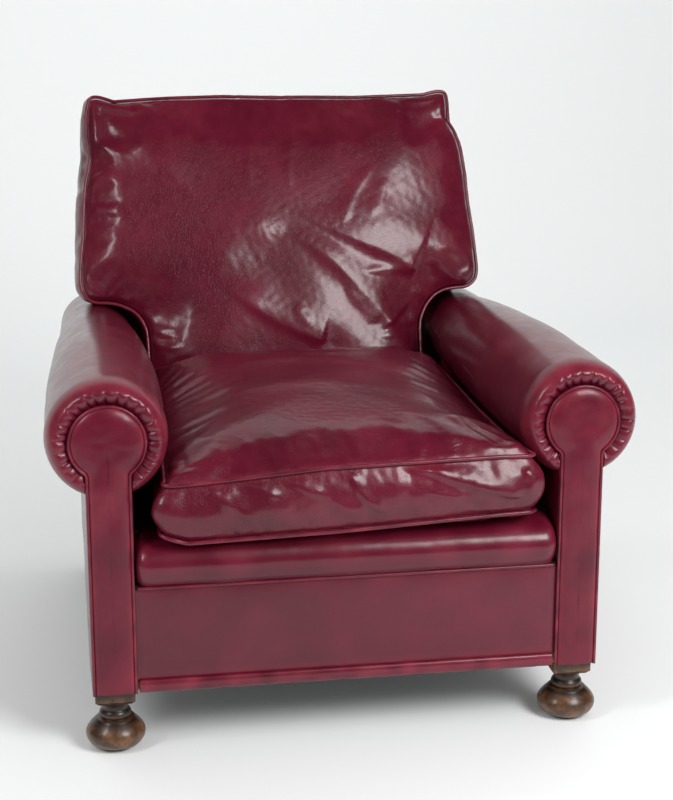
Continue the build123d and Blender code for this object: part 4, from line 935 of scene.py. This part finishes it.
def foldHeights(flat, folds):
    # flat: points on the cushion's own plane in mm. A fold is (line, height, left flank, right flank, tips): a crest
    # whose flanks fall off over their own widths beside the line, fading and narrowing towards its ends
    total = np.zeros(len(flat))
    for line, height, leftWide, rightWide, tips in folds:
        path = foldLine(line)
        wide = 3 * max(leftWide, rightWide)
        near = np.nonzero(np.all((flat > path.min(0) - wide) & (flat < path.max(0) + wide), axis=1))[0]
        gaps = flat[near][:, None, :] - path[None, :, :]
        nearest = np.argmin((gaps ** 2).sum(2), axis=1)
        gap = gaps[np.arange(len(near)), nearest]
        distance = np.linalg.norm(gap, axis=1)
        ahead = np.gradient(path, axis=0)[nearest]
        turned = ahead[:, 0] * gap[:, 1] - ahead[:, 1] * gap[:, 0]
        along = nearest / (len(path) - 1)
        fadeIn, fadeOut = smoothStep(0, tips[0], along), smoothStep(0, tips[1], 1 - along)
        narrow = 0.4 + 0.6 * np.minimum(fadeIn, fadeOut)
        mix = 0.5 + 0.5 * np.tanh(turned / (np.linalg.norm(ahead, axis=1) + 1e-9) / 4.0)
        local = narrow * (leftWide * mix + rightWide * (1 - mix))
        total[near] += height * bell(distance, local) * fadeIn * fadeOut
    return total


seat = {
    "overhang": 20.0, "rearReach": 622.0, "frontHalf": 286.0, "rearHalf": 270.0, "topHalf": 277.0, "rearTopHalf": 266.0,
    "corner": 24.0, "draw": 5.0, "sideRound": 1500, "lowPiping": 347.0, "highPiping": 435.0, "pipe": 3.2,
    "crown": 60.0, "crownFoot": 4.0, "crownWide": 90.0, "crownMost": 74.0,
    "spread": 11.0, "topAcross": (-288, -237, -33, 222, 292), "topLift": (-10, -9, 8, 11, 9),
    "lowAcross": (-283, -239, -33, 224, 295), "lowLift": (4, -10, -3, 9, 11),
}


def seatSag(local):  # how the filling has settled: the front edge waves up and down and its corners spread
    across, reach, height = local[:, 0], local[:, 1], local[:, 2]
    level = np.clip((height - seat["lowPiping"]) / (seat["highPiping"] - seat["lowPiping"]), 0, 1)
    topFade = 1 - smoothStep(-10, 150, reach)
    lowFade = 1 - smoothStep(-14, 26, reach)
    high = np.interp(across, seat["topAcross"], seat["topLift"]) * topFade
    low = np.interp(across, seat["lowAcross"], seat["lowLift"]) * lowFade
    moved = local.copy()
    moved[:, 2] += high * level + low * (1 - level)
    front = 1 - smoothStep(-14, 6, reach)
    spread = seat["spread"] * smoothStep(150, 270, np.abs(across)) * front * (0.45 + 0.55 * level)
    moved[:, 0] += np.sign(across) * spread
    return moved


def seatSpot(local):
    return seatSag(local) * mm + (0, frontY, 0)


def seatSeam(topShare, height):  # one piping line of the seat cushion as it lies
    edge = seatOutline(topShare, seat["pipe"])
    return seatSpot(np.column_stack([edge, np.full(len(edge), height)]))


def seatOutline(topShare, inset):  # plan of the seat cushion: across and reach
    frontHalf = seat["frontHalf"] + (seat["topHalf"] - seat["frontHalf"]) * topShare - inset
    rearHalf = seat["rearHalf"] + (seat["rearTopHalf"] - seat["rearHalf"]) * topShare - inset
    front, rear = -seat["overhang"] + inset, seat["rearReach"] - inset
    waist, middle = (frontHalf + rearHalf) / 2 - seat["draw"], (front + rear) / 2
    corner, flat = seat["corner"], seat["sideRound"]
    return roundedOutline([(-frontHalf, front, corner), (0, front - seat["draw"], flat), (frontHalf, front, corner),
                           (waist, middle, flat), (rearHalf, rear, corner), (0, rear - seat["draw"], flat),
                           (-rearHalf, rear, corner), (-waist, middle, flat)], 5.0)


seatFoldsTop = [  # across and reach
    (((-190, 385), (-30, 392), (120, 350), (215, 268)), 3.6, 60, 26, (0.3, 0.3)),
    (((-170, 250), (-15, 262), (130, 210), (225, 128)), 3.0, 60, 34, (0.3, 0.3)),
    (((-75, 500), (-35, 455), (40, 440), (120, 452)), 2.8, 26, 14, (0.3, 0.3)),
    (((51, 505), (82, 482), (112, 452)), 2.2, 18, 10, (0.3, 0.3)),
    (((-120, 545), (-30, 566), (110, 550)), 2.4, 20, 12, (0.3, 0.3)),
    (((195, 600), (236, 482), (246, 320)), 3.0, 26, 16, (0.3, 0.3)),
    (((95, 120), (142, 52), (160, -10)), 3.0, 20, 9, (0.35, 0.15)),
    (((140, 110), (186, 46), (218, -8)), 3.6, 22, 9, (0.35, 0.15)),
    (((190, 80), (232, 24), (258, -10)), 3.0, 16, 8, (0.35, 0.15)),
    (((50, 84), (90, 24), (116, -12)), 2.4, 18, 8, (0.35, 0.15)),
    (((-205, 50), (-186, 18), (-180, -12)), 1.3, 10, 6, (0.4, 0.1)),
    (((-160, 60), (-142, 22), (-136, -12)), 1.5, 10, 6, (0.4, 0.1)),
    (((-112, 66), (-94, 22), (-86, -12)), 1.6, 12, 6, (0.4, 0.1)),
    (((-62, 60), (-44, 18), (-38, -12)), 1.4, 10, 6, (0.4, 0.1)),
    (((-12, 66), (8, 20), (16, -12)), 1.6, 12, 6, (0.4, 0.1)),
]
seatFoldsFront = [  # across and height on the front boxing
    (((60, 444), (112, 432), (180, 408), (262, 386)), 6.0, 15, 7, (0.2, 0.12)),
    (((-8, 442), (2, 420), (20, 393), (54, 368)), 3.0, 8, 4, (0.2, 0.25)),
    (((-170, 432), (-140, 418), (-100, 400)), 3.0, 9, 6, (0.2, 0.35)),
    (((-108, 430), (-72, 416), (-30, 400)), 2.8, 9, 6, (0.2, 0.35)),
    (((-222, 426), (-178, 394), (-138, 360)), 3.4, 12, 8, (0.2, 0.3)),
    (((-280, 362), (-244, 350), (-186, 346)), 2.6, 7, 5, (0.2, 0.35)),
    (((256, 428), (270, 408), (262, 384)), 3.4, 8, 6, (0.2, 0.3)),
    (((-40, 398), (-14, 384), (4, 374)), 1.8, 7, 5, (0.3, 0.3)),
    (((150, 372), (205, 366), (266, 366)), 2.2, 8, 5, (0.3, 0.3)),
    (((100, 404), (150, 392), (214, 384)), 2.0, 8, 5, (0.3, 0.3)),
]


def seatCrown(local, inward):
    upper = local[:, 2] > seat["highPiping"] + 1.5
    rise = seat["crownFoot"] + seat["crown"] * (1 - np.exp(-((inward / seat["crownWide"]) ** 0.95)))
    towardsRear = 0.92 + 0.26 * smoothStep(90, 470, local[:, 1])
    local[upper, 2] = (seat["highPiping"] + np.minimum(rise * towardsRear, seat["crownMost"]))[upper]
    return upper


seatSeams = (seatSeam(1, seat["highPiping"]), seatSeam(0, seat["lowPiping"]))
seatPiece, spots, normals, local, seamGap, free = filledCushion(
    "seatCushion", "seat_cushion", chairSpace, seatSpot, seatOutline(1, seat["pipe"]), seatSeams, seatCrown,
    {"rounds": 12, "pressure": 3.2, "shrink": -0.018, "cap": (6.0, 4.0)})
topPart = smoothStep(0.35, 0.8, normals[:, 2]) * (local[:, 2] > seat["highPiping"] - 16)
frontPart = smoothStep(0.35, 0.8, -normals[:, 1]) * (local[:, 1] < 60)
heights = foldHeights(local[:, :2], seatFoldsTop) * topPart
heights += foldHeights(local[:, [0, 2]], seatFoldsFront) * frontPart
gatherSide = np.stack([local[:, 0] + 0.5 * local[:, 1], local[:, 1] * 0.25 + local[:, 2] * 0.35], 1)
gathers = softWaves(gatherSide, 17, 101) * bell(seamGap, 24 * mm) * 0.24
gathers *= 1 - 0.85 * smoothStep(20, 90, local[:, 1])
folds = softWaves(local * (1, 0.5, 0.8), 60, 102) * 0.7 * frontPart
pushOut(seatPiece, spots, normals, (heights + gathers + folds) * free + softWaves(local, 16, 103) * 0.12)
setWearAndPaintedShade(seatPiece, 0.45 * bell(seamGap, filling["seamWear"] * mm) + 0.10 + 0.12 * softWaves(local, 150, 104))
finishPiece(seatPiece, "seat_cushion", "cushion_leather", "seat_cushion")
cushionPiping("seatCushionPiping", "seat_cushion", seatSeams, (0, 0, 1), (6, 7))
print("seat cushion is made")

back = {
    "reach": 641.0, "thickness": 105.0, "rise": 11.0, "lowHalf": 252.0, "notchHalf": 256.0, "earHalf": 371.0,
    "earGap": 7.0, "midHalf": 364.0, "midRise": 430.0, "tipHalf": 337.0, "tipRise": 609.0, "topSag": 12.0,
    "lowRound": 24.0, "notchRound": 74.0, "earRound": 30.0, "sideRound": 420.0, "tipRound": 9.0, "topRound": 900.0,
    "crown": 48.0, "crownFoot": 4.0, "crownWide": 85.0, "crownMost": 56.0, "pipe": 3.2, "rollTop": 537.0,
    "rearLift": 39.0, "wing": 4.0,
    "leftRise": (214, 263, 292, 347, 402, 447, 487, 532, 569, 600), "leftShift": (0, 1, 0, -5, -7, -9, -12, 0, 5, 3),
    "rightRise": (209, 288, 338, 384, 422, 461, 499, 526, 546, 577, 600),
    "rightShift": (0, 0, -1, -4, -4, -1, 0, -5, -13, -6, -4),
    "topAcross": (-345, -320, -290, -240, -189, -96, 0, 72, 153, 220, 287, 318, 345),
    "topShift": (0, -1, -11, -6, -2, 3, 3, 0, -5, -6, -7, -1, 0),
}
backUp = np.array([0, math.sin(lean), math.cos(lean)])
backOut = np.array([0, -math.cos(lean), math.sin(lean)])
backOrigin = np.array(place(0, back["reach"], chair["deckHeight"]))
earRise = (back["rollTop"] - chair["deckHeight"]) / math.cos(lean) + back["earGap"]


def backOutline(grow, lift):  # outline of the back cushion: across and up the lean
    low, ear = back["rise"] + lift - grow, earRise + lift - grow
    right = [("lowHalf", low, "lowRound"), ("notchHalf", ear, "notchRound"), ("earHalf", ear, "earRound"),
             ("midHalf", back["midRise"], "sideRound"), ("tipHalf", back["tipRise"] + grow, "tipRound")]
    corners = [(back[half] + grow, rise, back[bend]) for half, rise, bend in right]
    top = [(0, back["tipRise"] - back["topSag"] + grow, back["topRound"])]
    return roundedOutline(corners + top + [(-x, y, r) for x, y, r in reversed(corners)], 5.0)


def backSag(local):  # how the filling has settled: pinched in below the top corners, dipping beside them
    across, rise, out = local[:, 0], local[:, 1], local[:, 2]
    front = smoothStep(-85, -12, out)
    side = smoothStep(215, 335, np.abs(across)) * front
    shift = np.where(across < 0, np.interp(rise, back["leftRise"], back["leftShift"]),
                     np.interp(rise, back["rightRise"], back["rightShift"]))
    moved = local.copy()
    moved[:, 0] += np.sign(across) * shift * side
    moved[:, 1] += np.interp(across, back["topAcross"], back["topShift"]) * smoothStep(490, 590, rise) * front
    wing = smoothStep(252, 290, np.abs(across)) * band(150, 190, 225, 300, rise) * front
    moved[:, 1] += np.sign(across) * back["wing"] * wing
    return moved


def backSpot(local):
    x, rise, away = backSag(local).T[:, :, None]
    return backOrigin + (x * (1, 0, 0) + rise * backUp + away * backOut) * mm


def backLocal(points):
    away = points - backOrigin
    return np.stack([away[:, 0], away @ backUp, away @ backOut], 1) / mm


def backSeam(lift, away):  # one piping line of the back cushion as it lies
    edge = backOutline(-back["pipe"], lift)
    return backSpot(np.column_stack([edge, np.full(len(edge), away)]))


backFolds = [  # across and up the lean
    (((20, 372), (74, 344), (134, 316), (182, 295), (218, 277), (249, 263)), 6.4, 66, 17, (0.6, 0.04)),
    (((134, 254), (174, 257), (211, 258), (246, 262)), 2.8, 12, 9, (0.4, 0.08)),
    (((0, 328), (36, 314), (59, 300), (94, 271), (129, 233), (164, 195), (200, 157)), 5.6, 38, 17, (0.4, 0.05)),
    (((-132, 245), (-91, 222), (-39, 184), (14, 154), (69, 132)), 4.6, 32, 13, (0.4, 0.06)),
    (((17, 208), (22, 182), (40, 156)), 1.8, 14, 10, (0.4, 0.3)),
    (((-134, 240), (-120, 284), (-94, 320), (-60, 338), (-22, 338), (10, 328)), 3.6, 40, 30, (0.3, 0.3)),
    (((104, 228), (140, 190), (168, 158)), 2.0, 14, 12, (0.3, 0.2)),
    (((176, 455), (146, 419), (124, 382), (104, 333)), 1.6, 9, 16, (0.3, 0.3)),
    (((196, 436), (184, 396), (160, 350)), 1.2, 9, 14, (0.3, 0.3)),
    (((-49, 547), (-54, 470), (-60, 399)), 0.9, 10, 10, (0.3, 0.3)),
    (((28, 552), (18, 470), (14, 399)), 1.1, 9, 12, (0.3, 0.3)),
    (((-312, 565), (-256, 514), (-205, 457), (-150, 405)), 2.6, 34, 20, (0.15, 0.4)),
    (((-330, 500), (-286, 510), (-250, 484)), 2.2, 14, 12, (0.2, 0.4)),
    (((-343, 440), (-307, 442), (-268, 416)), 2.0, 14, 12, (0.2, 0.4)),
    (((-346, 388), (-310, 384), (-268, 362)), 1.8, 14, 12, (0.2, 0.4)),
    (((-348, 330), (-312, 330), (-270, 310)), 1.6, 14, 12, (0.2, 0.4)),
    (((-340, 232), (-299, 226), (-262, 196)), 2.0, 12, 9, (0.2, 0.4)),
    (((-252, 152), (-221, 134), (-188, 128)), 2.6, 10, 7, (0.1, 0.4)),
    (((-268, 200), (-237, 180), (-194, 166)), 2.2, 11, 8, (0.1, 0.4)),
    (((-256, 176), (-228, 160), (-196, 148)), 2.0, 9, 7, (0.1, 0.4)),
    (((264, 180), (217, 162), (166, 152)), 2.8, 9, 12, (0.1, 0.4)),
    (((230, 132), (197, 139), (162, 134)), 2.6, 8, 10, (0.15, 0.4)),
    (((280, 204), (262, 212), (232, 228)), 2.2, 9, 11, (0.1, 0.4)),
    (((110, 586), (143, 566), (163, 550)), 2.4, 12, 9, (0.1, 0.4)),
    (((205, 588), (230, 568), (246, 556)), 2.0, 12, 9, (0.1, 0.4)),
    (((324, 572), (280, 566), (232, 560)), 2.8, 18, 14, (0.1, 0.5)),
    (((-326, 574), (-280, 572), (-230, 566)), 2.2, 18, 14, (0.1, 0.5)),
]
backDimples = [(-26, 282, 60, 4.0), (264, 262, 26, 3.0), (214, 146, 22, 3.0), (82, 122, 20, 2.5), (-208, 128, 26, 2.0)]


def backCrown(local, inward):
    upper = local[:, 2] > 2.0
    fuller = 1 + 0.08 * bell(local[:, 0], 220) * bell(local[:, 1] - 240, 160)
    rise = back["crownFoot"] + back["crown"] * (1 - np.exp(-((inward / back["crownWide"]) ** 0.95))) * fuller
    local[upper, 2] = np.minimum(rise, back["crownMost"])[upper]
    return upper


backSeams = (backSeam(0, 0), backSeam(back["rearLift"], back["pipe"] - back["thickness"]))
backPiece, spots, normals, local, seamGap, free = filledCushion(
    "backCushion", "back_cushion", backLocal, backSpot, backOutline(-back["pipe"], 0), backSeams, backCrown,
    {"rounds": 14, "pressure": 2.6, "shrink": -0.022, "cap": (7.0, 3.0)})
facing = smoothStep(0.35, 0.75, normals @ backOut) * (local[:, 2] > -6)
heights = foldHeights(local[:, :2], backFolds)
for across, rise, size, depth in backDimples:
    heights -= depth * bell(np.hypot(local[:, 0] - across, local[:, 1] - rise), size)
fromMiddle = np.stack([local[:, 0] / 330, (local[:, 1] - 330) / 270], 1)
radial = np.arctan2(fromMiddle[:, 1], fromMiddle[:, 0])
gatherSide = np.stack([radial * 300, np.hypot(fromMiddle[:, 0], fromMiddle[:, 1]) * 60], 1)
gathers = softWaves(gatherSide, 30, 111) * bell(seamGap, 40 * mm) * 0.35
broad = softWaves(local[:, :2], 190, 112) * 1.2 * facing
pushOut(backPiece, spots, normals, (heights * facing + gathers + broad) * free + softWaves(local, 18, 113) * 0.10)
setWearAndPaintedShade(backPiece, 0.4 * bell(seamGap, filling["seamWear"] * mm) + 0.06 + 0.12 * softWaves(local, 160, 114))
finishPiece(backPiece, "back_cushion", "cushion_leather", "back_cushion")
hugging = [hugged(path, backPiece, slack * mm) for path, slack in zip(backSeams, (4.5, 3.6))]
cushionPiping("backCushionPiping", "back_cushion", hugging, backOut, (16, 17))
print("back cushion is made")
